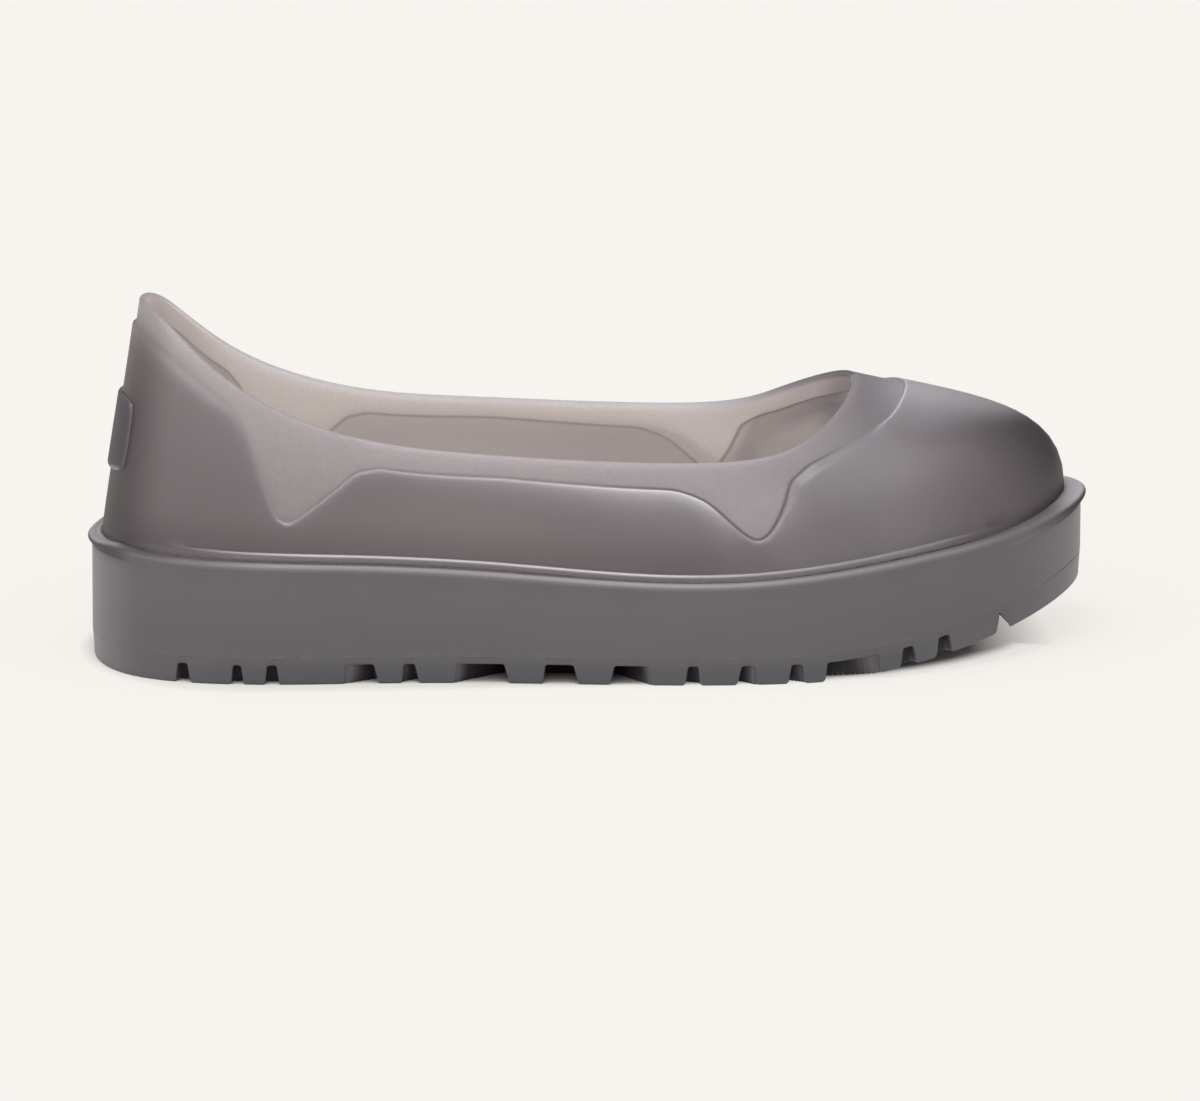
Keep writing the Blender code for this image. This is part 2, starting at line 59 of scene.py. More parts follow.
# One row for each section round the shoe, from the heel along the outer side to the toe and back on the
# inner side.
# rim_x, rim_y, rim_z: outermost line of the sole's rolled lip. top_x, top_y, top_z: edge of the collar.
# inset: how far the foot of the upper's wall stands in from the rim.
# rise, flare: length of the wall's lower curve, and its outward lean in degrees.
# reach, drop: length of the wall's upper curve, and its fall from the collar in degrees below level.
Section = namedtuple("Section", "name rim_x rim_y rim_z top_x top_y top_z inset rise flare reach drop")
SECTIONS = (
    Section("heel_back", 0.0, 0.0, 33.1, 16.0, 0.0, 104.7, 5.0, 22.0, -8.0, 22.0, 82.0),
    Section("heel_corner_outer", 10.0, -29.3, 33.6, 22.8, -17.6, 100.6, 4.6, 21.0, -6.0, 21.0, 80.0),
    Section("heel_outer", 46.0, -44.0, 32.3, 46.5, -28.2, 81.6, 5.2, 16.0, 0.0, 15.0, 66.0),
    Section("quarter_outer", 78.0, -45.4, 31.2, 76.5, -34.4, 70.0, 5.3, 13.0, 2.0, 12.0, 64.0),
    Section("waist_outer", 112.0, -47.5, 29.4, 112.0, -38.4, 65.4, 5.4, 12.0, 4.0, 10.0, 62.0),
    Section("ball_outer", 184.0, -56.0, 26.7, 181.0, -39.6, 62.2, 5.4, 12.0, 7.0, 11.0, 64.0),
    Section("toe_outer", 242.0, -46.0, 32.0, 206.0, -34.5, 68.0, 6.2, 20.0, 6.0, 22.0, 28.0),
    Section("toe_corner_outer", 278.6, -21.5, 36.4, 218.5, -17.5, 75.6, 7.0, 23.0, 4.0, 34.5, 18.0),
    Section("toe_tip", 291.9, 6.0, 39.4, 222.0, 1.0, 78.6, 7.4, 24.5, 2.0, 40.0, 14.0),
    Section("toe_corner_inner", 281.6, 32.0, 36.9, 218.5, 18.5, 75.8, 7.0, 23.0, 4.0, 34.5, 18.0),
    Section("toe_inner", 246.0, 51.6, 32.2, 206.0, 34.5, 68.5, 6.2, 20.0, 6.0, 22.0, 28.0),
    Section("ball_inner", 186.0, 55.2, 26.8, 181.0, 39.6, 62.7, 5.4, 12.0, 7.0, 11.0, 64.0),
    Section("waist_inner", 118.0, 45.0, 29.2, 112.0, 38.4, 66.0, 5.4, 12.0, 4.0, 10.0, 62.0),
    Section("quarter_inner", 80.0, 43.4, 31.2, 76.5, 34.4, 70.7, 5.3, 13.0, 2.0, 12.0, 64.0),
    Section("heel_inner", 48.0, 42.6, 32.3, 46.5, 28.2, 82.4, 5.2, 16.0, 0.0, 15.0, 66.0),
    Section("heel_corner_inner", 11.0, 29.0, 32.3, 22.8, 17.6, 101.2, 4.6, 21.0, -6.0, 21.0, 80.0),
)
SHORT_STEP = 0.5
FINE_STEPS = 2000
MERGE_DISTANCE = 0.001

TREAD_TOP = 7.75
TREAD_LAP = 0.1
TREAD_LAP_INSET = 0.05
TREAD_DRAFT = 0.4
TREAD_ROUND = 0.5
WALL_INSET = 0.9
TOE_TUCK = 0.5
TOE_TUCK_FROM = (225.0, 290.0)
ROCKER_START = 205.0
ROCKER_POWER = 1.6
TOE_SPRING = 17.6

# Notches between the lugs along each side. middle: from the heel along the shoe. width: along the edge of the
# sole. heel_reach, toe_reach: how far in from the edge the notch runs at its two sides.
# heel_taper, toe_taper: how far those sides lean in on their way up to the roof.
Notch = namedtuple("Notch", "middle width heel_reach toe_reach heel_taper toe_taper")
NOTCHES = (
    Notch(25.6, 4.2, 4.5, 4.5, 0.5, 0.6),
    Notch(41.3, 3.3, 4.5, 4.5, 0.4, 0.5),
    Notch(51.3, 3.8, 4.5, 4.5, 0.4, 0.5),
    Notch(76.7, 9.6, 0.6, 6.5, 0.3, 0.9),
    Notch(90.7, 4.7, 2.5, 5.5, 0.4, 0.9),
    Notch(111.0, 15.0, 1.0, 15.0, 0.3, 1.0),
    Notch(133.2, 9.8, 13.0, 13.0, 0.4, 1.0),
    Notch(153.1, 11.4, 14.0, 1.0, 0.8, 0.3),
    Notch(170.7, 4.1, 5.5, 3.5, 0.6, 0.4),
    Notch(186.3, 5.2, 6.0, 0.8, 0.9, 0.3),
    Notch(200.7, 4.4, 5.5, 2.0, 0.6, 0.4),
    Notch(217.3, 16.2, 8.5, 0.6, 0.4, 0.3),
    Notch(234.0, 4.8, 4.5, 4.5, 0.5, 0.8),
    Notch(245.0, 5.0, 4.5, 4.5, 0.4, 0.8),
    Notch(263.8, 5.0, 13.0, 13.0, 0.3, 3.6),
)
NOTCH_DEPTH = 5.6
NOTCH_END = 1.2
LUG_ROUND = 1.1
ROOF_ROUND = 0.9
ROOF_ROUND_SHARE = 0.45
ROUND_STEPS = 5
LUG_STEP = 2.0
NOTCH_STEP = 0.8

# On the outer side the front notch runs on as a straight slot to the channel, with a slight slant
SLOT_SIDES = (261.8, 267.2)
SLOT_MOUTH = -35.0
SLOT_SLANT = 0.08
SLOT_EDGE = 0.4

CHANNEL_INSET = 20.0
CHANNEL_WIDTH = 4.0
CHANNEL_DEPTH = 4.6
CHANNEL_TAPER = 0.6
SIDE_ROWS = 6
LUG_SKIN_START = (8.0, 48.0)
LUG_SKIN_END = (222.0, 258.0)
LUG_SKIN_FADE = 1.6
# Painted shade inside the notches
HOLLOW_DEPTHS = (0.4, 4.0)
HOLLOW_LIFTS = (0.3, 2.0)
HOLLOW_PAST_END = 0.5
# Painted light on the two ends of the tread's side
END_LIGHT = 0.17
END_FACING = (0.6, 0.95)
UNDERSIDE_INSETS = (*np.arange(2.4, 17.0, 0.7), 18.5, 19.6, 20.0, 20.2, 20.4, 20.6, 22.0, 24.0)
FILL_STEPS = 8
TREAD_SHARP = 40.0


def closed_spline(keys, values, period):
    """A smooth closed curve through rows of values at rising keys, to be read at an array of keys."""
    count = len(keys)
    gaps = np.diff(np.append(keys, keys[0] + period))
    before = np.roll(gaps, 1)
    slopes = (np.roll(values, -1, axis=0) - values) / gaps[:, None]
    system = np.diag(2 * (before + gaps))
    for row in range(count):
        system[row, row - 1] = gaps[row]
        system[row, (row + 1) % count] = before[row]
    wanted = 3 * (gaps[:, None] * np.roll(slopes, 1, axis=0) + before[:, None] * slopes)
    tangents = np.linalg.solve(system, wanted)

    def at(places):
        places = places % period
        row = np.searchsorted(keys, places, side="right") - 1
        after = (row + 1) % count
        gap = gaps[row][:, None]
        t = (places - keys[row])[:, None] / gap
        return (
            values[row] * (1 + 2 * t) * (1 - t) ** 2
            + values[after] * t * t * (3 - 2 * t)
            + tangents[row] * gap * t * (1 - t) ** 2
            - tangents[after] * gap * t * t * (1 - t)
        )

    return at


def smooth_share(values, start, end):
    """0 before start, 1 after end, and a smooth ramp between them."""
    t = np.clip((values - start) / (end - start), 0.0, 1.0)
    return t * t * (3 - 2 * t)


# The key of a section is its distance round the rim from the back of the heel
rim_corners = np.array([(s.rim_x, s.rim_y) for s in SECTIONS])
rim_steps = np.linalg.norm(np.roll(rim_corners, -1, axis=0) - rim_corners, axis=1)
section_keys = np.concatenate([[0.0], np.cumsum(rim_steps)[:-1]])
AROUND = rim_steps.sum()
TOE_KEY = section_keys[[s.name for s in SECTIONS].index("toe_tip")]
LENGTH = rim_corners[:, 0].max()
read_sections = closed_spline(section_keys, np.array([s[1:] for s in SECTIONS]), AROUND)


def sections_at(keys):
    """The sections' values at an array of keys, with one array for each column of the table."""
    return Section("", *read_sections(keys).T)


def outward_at(keys):
    """Level directions that point out of the shoe, square to the rim."""
    along = read_sections(keys + SHORT_STEP)[:, :2] - read_sections(keys - SHORT_STEP)[:, :2]
    along /= np.linalg.norm(along, axis=1, keepdims=True)
    return np.column_stack([along[:, 1], -along[:, 0], np.zeros(len(keys))])


def inside_rim(keys, inset, height):
    """Points that far in from the rim, at those heights over the floor."""
    section = sections_at(keys)
    points = np.column_stack([section.rim_x, section.rim_y, np.zeros(len(keys))])
    points -= outward_at(keys) * np.broadcast_to(inset, len(keys))[:, None]
    points[:, 2] = height
    return points


def rocker(x):
    """Height of the tread's underside over the floor."""
    lifted = np.maximum(x - ROCKER_START, 0.0) / (LENGTH - ROCKER_START)
    return TOE_SPRING * lifted**ROCKER_POWER


def on_rocker(points, height):
    """The points set at that height over the tread's underside."""
    points[..., 2] = rocker(points[..., 0]) + height
    return points


def edge_inset(x):
    """How far the side of the sole stands in from the rim at its foot, where the toe tucks under."""
    return WALL_INSET + TOE_TUCK * smooth_share(x, *TOE_TUCK_FROM)


def fill_across(loop, steps):
    """Points across the shoe between the two halves of a loop that starts at the heel."""
    toe = len(loop) // 2
    outer = loop[: toe + 1, None]
    inner = loop[-np.arange(toe + 1), None]
    shares = np.linspace(0.0, 1.0, steps + 1)[None, :, None]
    return outer * (1 - shares) + inner * shares


# Where the heel's back stands in the frame: the shapes below are shifted there
rim_line = inside_rim(np.linspace(0.0, AROUND, FINE_STEPS), 0.0, 0.0)
sole_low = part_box("sole")[0]
heel_frame = np.array([sole_low.x, sole_low.y, 0.0]) - rim_line.min(axis=0) * MM

Sheet = namedtuple("Sheet", "points round traits")


def make_piece(name, sheets, sharp_angle):
    """A mesh over sheets of points, each an array of columns and rows whose columns may close round the shoe.
    A sheet's traits are values for each point, which the material reads."""
    points, faces, start = [], [], 0
    traits = {trait: [] for sheet in sheets for trait in sheet.traits}
    for sheet in sheets:
        columns, rows = sheet.points.shape[:2]
        index = start + np.arange(columns * rows).reshape(columns, rows)
        if sheet.round:
            index = np.vstack([index, index[:1]])
        quads = np.stack([index[:-1, :-1], index[1:, :-1], index[1:, 1:], index[:-1, 1:]], axis=-1)
        faces += quads.reshape(-1, 4).tolist()
        points.append(sheet.points.reshape(-1, 3))
        for trait in traits:
            traits[trait].append(np.broadcast_to(sheet.traits.get(trait, 0.0), (columns, rows)).ravel())
        start += columns * rows
    mesh = bpy.data.meshes.new(name)
    mesh.from_pydata((np.concatenate(points) * MM + heel_frame).tolist(), [], faces)
    for trait, values in traits.items():
        mesh.attributes.new(trait, "FLOAT", "POINT").data.foreach_set("value", np.concatenate(values))
    build = bmesh.new()
    build.from_mesh(mesh)
    bmesh.ops.remove_doubles(build, verts=build.verts, dist=MERGE_DISTANCE * MM)
    bmesh.ops.recalc_face_normals(build, faces=build.faces)
    build.to_mesh(mesh)
    build.free()
    mesh.shade_smooth()
    mesh.set_sharp_from_angle(angle=math.radians(sharp_angle))
    piece = bpy.data.objects.new(name, mesh)
    bpy.context.scene.collection.objects.link(piece)
    return piece


def notch_profile(notch):
    """Places along the edge of the sole from a notch's middle, and how high it is cut there."""
    turn = np.linspace(0.0, math.pi / 2, ROUND_STEPS)
    heel_roof = notch.heel_taper - notch.width / 2
    toe_roof = notch.width / 2 - notch.toe_taper
    corner = min(ROOF_ROUND, ROOF_ROUND_SHARE * (toe_roof - heel_roof))
    roof = np.linspace(heel_roof + corner, toe_roof - corner, math.ceil(notch.width / NOTCH_STEP))[1:-1]
    lug_away = notch.width / 2 + LUG_ROUND * (1 - np.sin(turn))
    lug_lift = LUG_ROUND * (1 - np.cos(turn))
    roof_in = corner * (1 - np.cos(turn))
    roof_lift = NOTCH_DEPTH - corner * (1 - np.sin(turn))
    places = [-lug_away, heel_roof + roof_in, roof, toe_roof - roof_in[::-1], lug_away[::-1]]
    lifts = [lug_lift, roof_lift, np.full(len(roof), NOTCH_DEPTH), roof_lift[::-1], lug_lift[::-1]]
    return np.concatenate(places), np.concatenate(lifts)


def lug_columns():
    """Keys of the columns round the tread, how high it is cut away there, and how far in that reaches."""
    share = np.linspace(0.0, 1.0, FINE_STEPS)
    side_lengths = (TOE_KEY, AROUND - TOE_KEY)
    side_keys = (TOE_KEY * share, AROUND - (AROUND - TOE_KEY) * share)
    middles = [
        np.interp([n.middle for n in NOTCHES], sections_at(keys).rim_x, length * share)
        for keys, length in zip(side_keys, side_lengths)
    ]
    ends = np.zeros(2)
    distances, lifts, reaches = [], [], []
    for notch, middle in zip(NOTCHES, np.transpose(middles)):
        places, lift = notch_profile(notch)
        steps = math.ceil((middle + places[0] - ends).max() / LUG_STEP)
        distances += [np.linspace(ends, middle + places[0], steps, endpoint=False), middle + places[:, None]]
        lifts += [np.zeros(steps), lift]
        sides = (-notch.width / 2, notch.width / 2)
        reaches += [np.zeros(steps), np.interp(places, sides, (notch.heel_reach, notch.toe_reach))]
        ends = middle + places[-1]
    steps = math.ceil((np.array(side_lengths) - ends).max() / LUG_STEP)
    distances.append(np.linspace(ends, side_lengths, steps + 1)[1:])
    lifts.append(np.zeros(steps))
    reaches.append(np.zeros(steps))
    outer, inner = np.concatenate(distances).T
    lift = np.concatenate(lifts)
    reach = np.concatenate(reaches)
    keys = np.concatenate([outer, AROUND - inner[-2:0:-1]])
    return keys, np.concatenate([lift, lift[-2:0:-1]]), np.concatenate([reach, reach[-2:0:-1]])


tread_keys, tread_lift, tread_reach = lug_columns()
tread_foot = edge_inset(sections_at(tread_keys).rim_x)
lap = inside_rim(tread_keys, tread_foot + TREAD_LAP_INSET, 0.0)
tread_rows = [on_rocker(lap, TREAD_TOP + TREAD_LAP)]
tread_depths = [0.0 * tread_foot]
for share in np.linspace(0.0, 1.0, SIDE_ROWS):
    row = inside_rim(tread_keys, tread_foot + TREAD_LAP_INSET + TREAD_DRAFT * share, 0.0)
    tread_rows.append(on_rocker(row, TREAD_TOP + (tread_lift + TREAD_ROUND - TREAD_TOP) * share))
    tread_depths.append(0.0 * tread_foot)
for turn in np.linspace(0.0, math.pi / 2, ROUND_STEPS)[1:]:
    depth = TREAD_LAP_INSET + TREAD_DRAFT + TREAD_ROUND * (1 - math.cos(turn))
    row = inside_rim(tread_keys, tread_foot + depth, 0.0)
    tread_rows.append(on_rocker(row, tread_lift + TREAD_ROUND * (1 - math.sin(turn))))
    tread_depths.append(depth + 0.0 * tread_foot)
for inset in UNDERSIDE_INSETS:
    row = inside_rim(tread_keys, inset, 0.0)
    depth = inset - tread_foot
    notch_height = tread_lift * (1 - smooth_share(depth, tread_reach - NOTCH_END, tread_reach))
    channel_height = CHANNEL_DEPTH * smooth_share(inset, CHANNEL_INSET, CHANNEL_INSET + CHANNEL_TAPER)
    along = row[:, 0] - SLOT_SLANT * (row[:, 1] - SLOT_MOUTH)
    slot = smooth_share(along, SLOT_SIDES[0] - SLOT_EDGE, SLOT_SIDES[0])
    slot *= 1 - smooth_share(along, SLOT_SIDES[1], SLOT_SIDES[1] + SLOT_EDGE)
    slot_height = np.where(row[:, 1] < 0.0, NOTCH_DEPTH * slot, 0.0)
    tread_rows.append(on_rocker(row, np.maximum(np.maximum(notch_height, channel_height), slot_height)))
    tread_depths.append(depth)
tread_side = np.stack(tread_rows, axis=1)
tread_depth = np.stack(tread_depths, axis=1)
tread_top = on_rocker(fill_across(tread_side[:, 0], FILL_STEPS), TREAD_TOP + TREAD_LAP)
tread_middle = on_rocker(fill_across(tread_side[:, -1], FILL_STEPS), CHANNEL_DEPTH)

# What the material reads: how much of the lugs' blasted skin shows, how much painted shade lies inside a
# notch, and how much painted light brightens the two ends of the shoe. All the tread takes the painted shade
# of the wall below the rim.
tread_x = sections_at(tread_keys).rim_x
lug_skin = smooth_share(tread_x, *LUG_SKIN_START) * (1 - smooth_share(tread_x, *LUG_SKIN_END))
lug_skin *= 1 - smooth_share(tread_lift, 0.0, NOTCH_DEPTH)
tread_height = tread_side[:, :, 2] - rocker(tread_side[:, :, 0])
lug_drop = 1 - smooth_share(tread_height, NOTCH_DEPTH - LUG_SKIN_FADE, TREAD_TOP)
painted_shade = smooth_share(tread_depth, *HOLLOW_DEPTHS) * smooth_share(tread_lift, *HOLLOW_LIFTS)[:, None]
painted_shade *= tread_depth < tread_reach[:, None] + HOLLOW_PAST_END
end_light = END_LIGHT * smooth_share(np.abs(outward_at(tread_keys)[:, :1]), *END_FACING)

tread = make_piece(
    "tread",
    [
        Sheet(
            tread_side,
            True,
            {"lug": lug_skin[:, None] * lug_drop, "painted_shade": painted_shade, "painted_light": end_light, "shade_below_rim": 1.0},
        ),
        Sheet(tread_top, False, {"shade_below_rim": 1.0}),
        Sheet(tread_middle, False, {"shade_below_rim": 1.0}),
    ],
    TREAD_SHARP,
)


def hex_colour(code):
    """Linear RGBA of an sRGB hex value."""
    shares = [int(code[i : i + 2], 16) / 255 for i in (1, 3, 5)]
    return (*[s / 12.92 if s <= 0.04045 else ((s + 0.055) / 1.055) ** 2.4 for s in shares], 1.0)


def add_node(tree, kind, inputs, **settings):
    """Adds a node with its settings. Its inputs are filled with values, or linked to other nodes' outputs."""
    node = tree.nodes.new(kind)
    for name, value in settings.items():
        setattr(node, name, value)
    for name, value in inputs.items():
        if isinstance(value, bpy.types.NodeSocket):
            tree.links.new(value, node.inputs[name])
        else:
            node.inputs[name].default_value = value
    return node


# Moulded smoky rubber, too deep a tint to see through: a smooth mould leaves the wall a soft sheen, and a
# lightly blasted one makes the lugs cooler and duller. Painted light makes edges turned to the light paler,
# and painted shade darkens the wall further below the rim, the insides of the notches and the hollow under
# the lip. The grit of a real blasted mould is finer than this, which is drawn coarse enough to show.
LUG_GRIT = 0.6
WALL_CLOUDS = 18.0
sole_rubber = bpy.data.materials.new("moulded_smoky_rubber")
sole_rubber.use_nodes = True
tree = sole_rubber.node_tree
shader = tree.nodes["Principled BSDF"]
place = add_node(tree, "ShaderNodeTexCoord", {})
trait = {
    name: add_node(tree, "ShaderNodeAttribute", {}, attribute_name=name).outputs["Fac"]
    for name in ("shade_below_rim", "lug", "painted_light", "painted_shade")
}
clouds = add_node(
    tree,
    "ShaderNodeTexNoise",
    {"Vector": place.outputs["Object"], "Scale": 1 / (WALL_CLOUDS * MM), "Detail": 3.0, "Roughness": 0.55},
)
grit = add_node(
    tree,
    "ShaderNodeTexNoise",
    {"Vector": place.outputs["Object"], "Scale": 1 / (LUG_GRIT * MM), "Detail": 2.0, "Roughness": 0.6},
)
cloud_share = add_node(
    tree,
    "ShaderNodeMapRange",
    {"Value": clouds.outputs["Fac"], "From Min": 0.35, "From Max": 0.65, "To Min": 0.0, "To Max": 0.7},
)
# Each colour lies over the ones before it, by its own share
wall_colour = hex_colour("#5f595d")
for share, code in (
    (trait["shade_below_rim"], "#565055"),
    (cloud_share.outputs["Result"], "#585659"),
    (trait["lug"], "#494b4f"),
    (trait["painted_light"], "#928e92"),
    (trait["painted_shade"], "#1f1d20"),
):
    layer = add_node(tree, "ShaderNodeMix", {0: share, 6: wall_colour, 7: hex_colour(code)}, data_type="RGBA")
    wall_colour = layer.outputs[2]
dull = add_node(tree, "ShaderNodeMapRange", {"Value": trait["lug"], "To Min": 0.4, "To Max": 0.52})
dulled = add_node(
    tree,
    "ShaderNodeMix",
    {0: trait["painted_shade"], 2: dull.outputs["Result"], 3: 0.8},
    data_type="FLOAT",
)
grit_depth = add_node(tree, "ShaderNodeMapRange", {"Value": trait["lug"], "To Min": 0.06, "To Max": 0.25})
relief = add_node(
    tree,
    "ShaderNodeBump",
    {"Height": grit.outputs["Fac"], "Strength": grit_depth.outputs["Result"], "Distance": 0.1 * MM},
)
tree.links.new(wall_colour, shader.inputs["Base Color"])
tree.links.new(dulled.outputs[0], shader.inputs["Roughness"])
tree.links.new(relief.outputs["Normal"], shader.inputs["Normal"])
shader.inputs["IOR"].default_value = 1.5
tread.data.materials.append(sole_rubber)
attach(tread, "root")
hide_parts("outsole")

# Tread bars
# The island in the middle of the tread is a row of bars across the shoe, moulded in one with the tread. Each
# is a rounded strip swept between the two sides of the channel, and leans with the curve of the toe.
BAR_FIRST = 34.0
BAR_LAST = 243.0
BAR_PITCH = 19.0
BAR_GAP = 4.0
BAR_ROUND = 1.0
BAR_SUNK = 0.5
BAR_LIFT = 0.1

bar_height = CHANNEL_DEPTH + BAR_SUNK
bar_share = np.linspace(0.0, 1.0, FINE_STEPS)
outer_side = inside_rim(TOE_KEY * bar_share, CHANNEL_INSET + CHANNEL_WIDTH, 0.0)
inner_side = inside_rim(AROUND - (AROUND - TOE_KEY) * bar_share, CHANNEL_INSET + CHANNEL_WIDTH, 0.0)
bar_middles = np.arange(BAR_FIRST + BAR_PITCH / 2, BAR_LAST, BAR_PITCH)
bar_ends = []
for side in (outer_side, inner_side):
    across = np.interp(bar_middles, side[:, 0], side[:, 1])
    points = np.column_stack([bar_middles, across, np.zeros(len(bar_middles))])
    bar_ends.append(on_rocker(points, bar_height / 2 + BAR_LIFT))
bar_lines = bpy.data.meshes.new("tread_bars")
bar_points = np.stack(bar_ends, axis=1).reshape(-1, 3) * MM + heel_frame
bar_lines.from_pydata(bar_points.tolist(), [(i, i + 1) for i in range(0, len(bar_points), 2)], [])
bar_slope = (rocker(bar_middles + SHORT_STEP) - rocker(bar_middles - SHORT_STEP)) / (2 * SHORT_STEP)
bar_lean = bar_lines.attributes.new("lean", "FLOAT", "POINT")
bar_lean.data.foreach_set("value", np.repeat(np.arctan(bar_slope), 2))

bar_tree = bpy.data.node_groups.new("swept_bars", "GeometryNodeTree")
bar_tree.interface.new_socket("Lines", in_out="INPUT", socket_type="NodeSocketGeometry")
for name in ("Bar width", "Bar height", "Corner"):
    bar_tree.interface.new_socket(name, in_out="INPUT", socket_type="NodeSocketFloat")
bar_tree.interface.new_socket("Bars", in_out="OUTPUT", socket_type="NodeSocketGeometry")
given = add_node(bar_tree, "NodeGroupInput", {})
block = add_node(
    bar_tree,
    "GeometryNodeCurvePrimitiveQuadrilateral",
    {"Width": given.outputs["Bar width"], "Height": given.outputs["Bar height"]},
)
rounded = add_node(
    bar_tree,
    "GeometryNodeFilletCurve",
    {"Curve": block.outputs["Curve"], "Count": 4, "Radius": given.outputs["Corner"]},
    mode="POLY",
)
lean = add_node(bar_tree, "GeometryNodeInputNamedAttribute", {"Name": "lean"}, data_type="FLOAT")
lines = add_node(bar_tree, "GeometryNodeMeshToCurve", {"Mesh": given.outputs["Lines"]})
upright = add_node(bar_tree, "GeometryNodeSetCurveNormal", {"Curve": lines.outputs["Curve"]}, mode="Z_UP")
tilted = add_node(
    bar_tree,
    "GeometryNodeSetCurveTilt",
    {"Curve": upright.outputs["Curve"], "Tilt": lean.outputs["Attribute"]},
)
swept = add_node(
    bar_tree,
    "GeometryNodeCurveToMesh",
    {"Curve": tilted.outputs["Curve"], "Profile Curve": rounded.outputs["Curve"], "Fill Caps": True},
)
solid = add_node(bar_tree, "GeometryNodeRealizeInstances", {"Geometry": swept.outputs["Mesh"]})
finished = add_node(
    bar_tree,
    "GeometryNodeSetMaterial",
    {"Geometry": solid.outputs["Geometry"], "Material": sole_rubber},
)
add_node(bar_tree, "NodeGroupOutput", {"Bars": finished.outputs["Geometry"]})

tread_bars = bpy.data.objects.new("tread_bars", bar_lines)
bpy.context.scene.collection.objects.link(tread_bars)
sweep = tread_bars.modifiers.new("swept_bars", "NODES")
sweep.node_group = bar_tree
bar_sizes = {
    "Bar width": (BAR_PITCH - BAR_GAP) * MM,
    "Bar height": bar_height * MM,
    "Corner": BAR_ROUND * MM,
}
for socket in bar_tree.interface.items_tree:
    if socket.name in bar_sizes:
        sweep[socket.identifier] = bar_sizes[socket.name]
evaluated = tread_bars.evaluated_get(bpy.context.evaluated_depsgraph_get())
tread_bars.data = bpy.data.meshes.new_from_object(evaluated)
tread_bars.modifiers.clear()
tread_bars.data.shade_smooth()
tread_bars.data.set_sharp_from_angle(angle=math.radians(TREAD_SHARP))
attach(tread_bars, "root")
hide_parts("outsole")

# Sole
# The cup under the upper, moulded in one from smoky rubber: a thick wall with a rolled lip round its rim, a
# groove inside the lip where the upper stands, and a floor inside. It lies on the tread, and the seam between
# them shows only at the toe.

# Lines of the lip from its underside to the groove. inset, height: in from the rim's line and over it, along
# the sides. end_inset, end_height: the same at the heel and the toe.
LipLine = namedtuple("LipLine", "name inset height end_inset end_height")
LIP = (
    LipLine("under", 0.2, -1.8, 1.1, -0.4),
    LipLine("under_round", 0.15, -1.2, 1.05, 0.4),
    LipLine("belly", 0.07, -0.5, 0.75, 1.1),
    LipLine("rim", 0.0, 0.3, 0.2, 1.8),
    LipLine("side", 0.05, 1.3, 0.0, 2.5),
    LipLine("shoulder", 0.4, 2.4, 0.3, 3.3),
    LipLine("top_round", 1.1, 3.1, 1.0, 3.9),
    LipLine("top", 2.1, 3.3, 2.0, 4.2),
    LipLine("inner_round", 2.8, 3.0, 2.7, 4.1),
    LipLine("groove", 3.3, 2.2, 3.3, 3.4),
)
LIP_STEPS = 4
LIP_END_FACING = (0.4, 0.85)

# A table of two rows holds places along the shoe, and the values there. The leans are the lip's own, in
# degrees from upright: its top is at 90.
# Painted highlights on the lip's crest, and on the roll's top at the heel and the toe
CREST_LEAN = 62.0
CREST_SPREADS = (9.0, 19.0)
CREST_RUN = (
    (0.0, 6.0, 12.0, 20.0, 33.0, 42.0, 52.0, 62.0, 160.0, 194.0, 222.0, 250.0, 278.0, 288.0),
    (0.3, 0.25, 0.0, 0.0, 0.12, 0.33, 0.52, 0.62, 0.62, 0.36, 0.22, 0.08, 0.08, 0.3),
)
ROLL_LIGHT = ((0.0, 5.0, 10.0, 280.0, 286.0, 291.0), (0.45, 0.2, 0.0, 0.0, 0.45, 0.8))
ROLL_LEANS = (40.0, 70.0)
# Painted shade on the lip's top near the ends, in the hollow under its roll and along its sides
LIP_SHADE_LEANS = (20.0, 50.0)
LIP_SHADE = (
    (6.0, 9.0, 15.0, 20.0, 26.0, 32.0, 42.0, 52.0, 250.0, 264.0, 281.0, 287.0),
    (0.0, 0.6, 0.65, 0.55, 0.35, 0.35, 0.15, 0.0, 0.0, 0.25, 0.25, 0.0),
)
HOLLOW_RUN = ((0.0, 6.0, 9.0, 12.0, 270.0, 279.0, 286.0), (0.65, 0.6, 0.4, 0.0, 0.0, 0.4, 0.9))
HOLLOW_HEIGHTS = (-0.4, 0.4)
SIDE_HOLLOW = 0.12
SIDE_HOLLOW_LEAN = 6.0
SIDE_HOLLOW_SPREAD = 8.0
HOLLOW_LEANS = (-54.0, -24.0)
RIM_SHADE_DEPTH = 20.0

HEEL_DIP = 0.28
HEEL_DIP_FACING = (0.85, 1.0)
HEEL_DIP_INSETS = (2.2, 3.3)
HEEL_DIP_LEFT = 0.6
PANEL_RISE = 1.0
LEDGE_HEIGHT = 2.4
LEDGE_EDGE = 0.4
SEAM = 0.3
BAND_WALL = 1.8
LEDGE_PAST_UPPER = 0.4
CUP_FILLET = 5.0
CUP_ROWS = 5
FILLET_ROWS = 7
FLOOR_HEIGHT = 13.3
SEAM_GROOVE = 0.45
SEAM_FROM = (266.0, 288.0)
SOLE_COLUMNS = 360
SOLE_WALL_ROWS = 12
SOLE_SHARP = 50.0

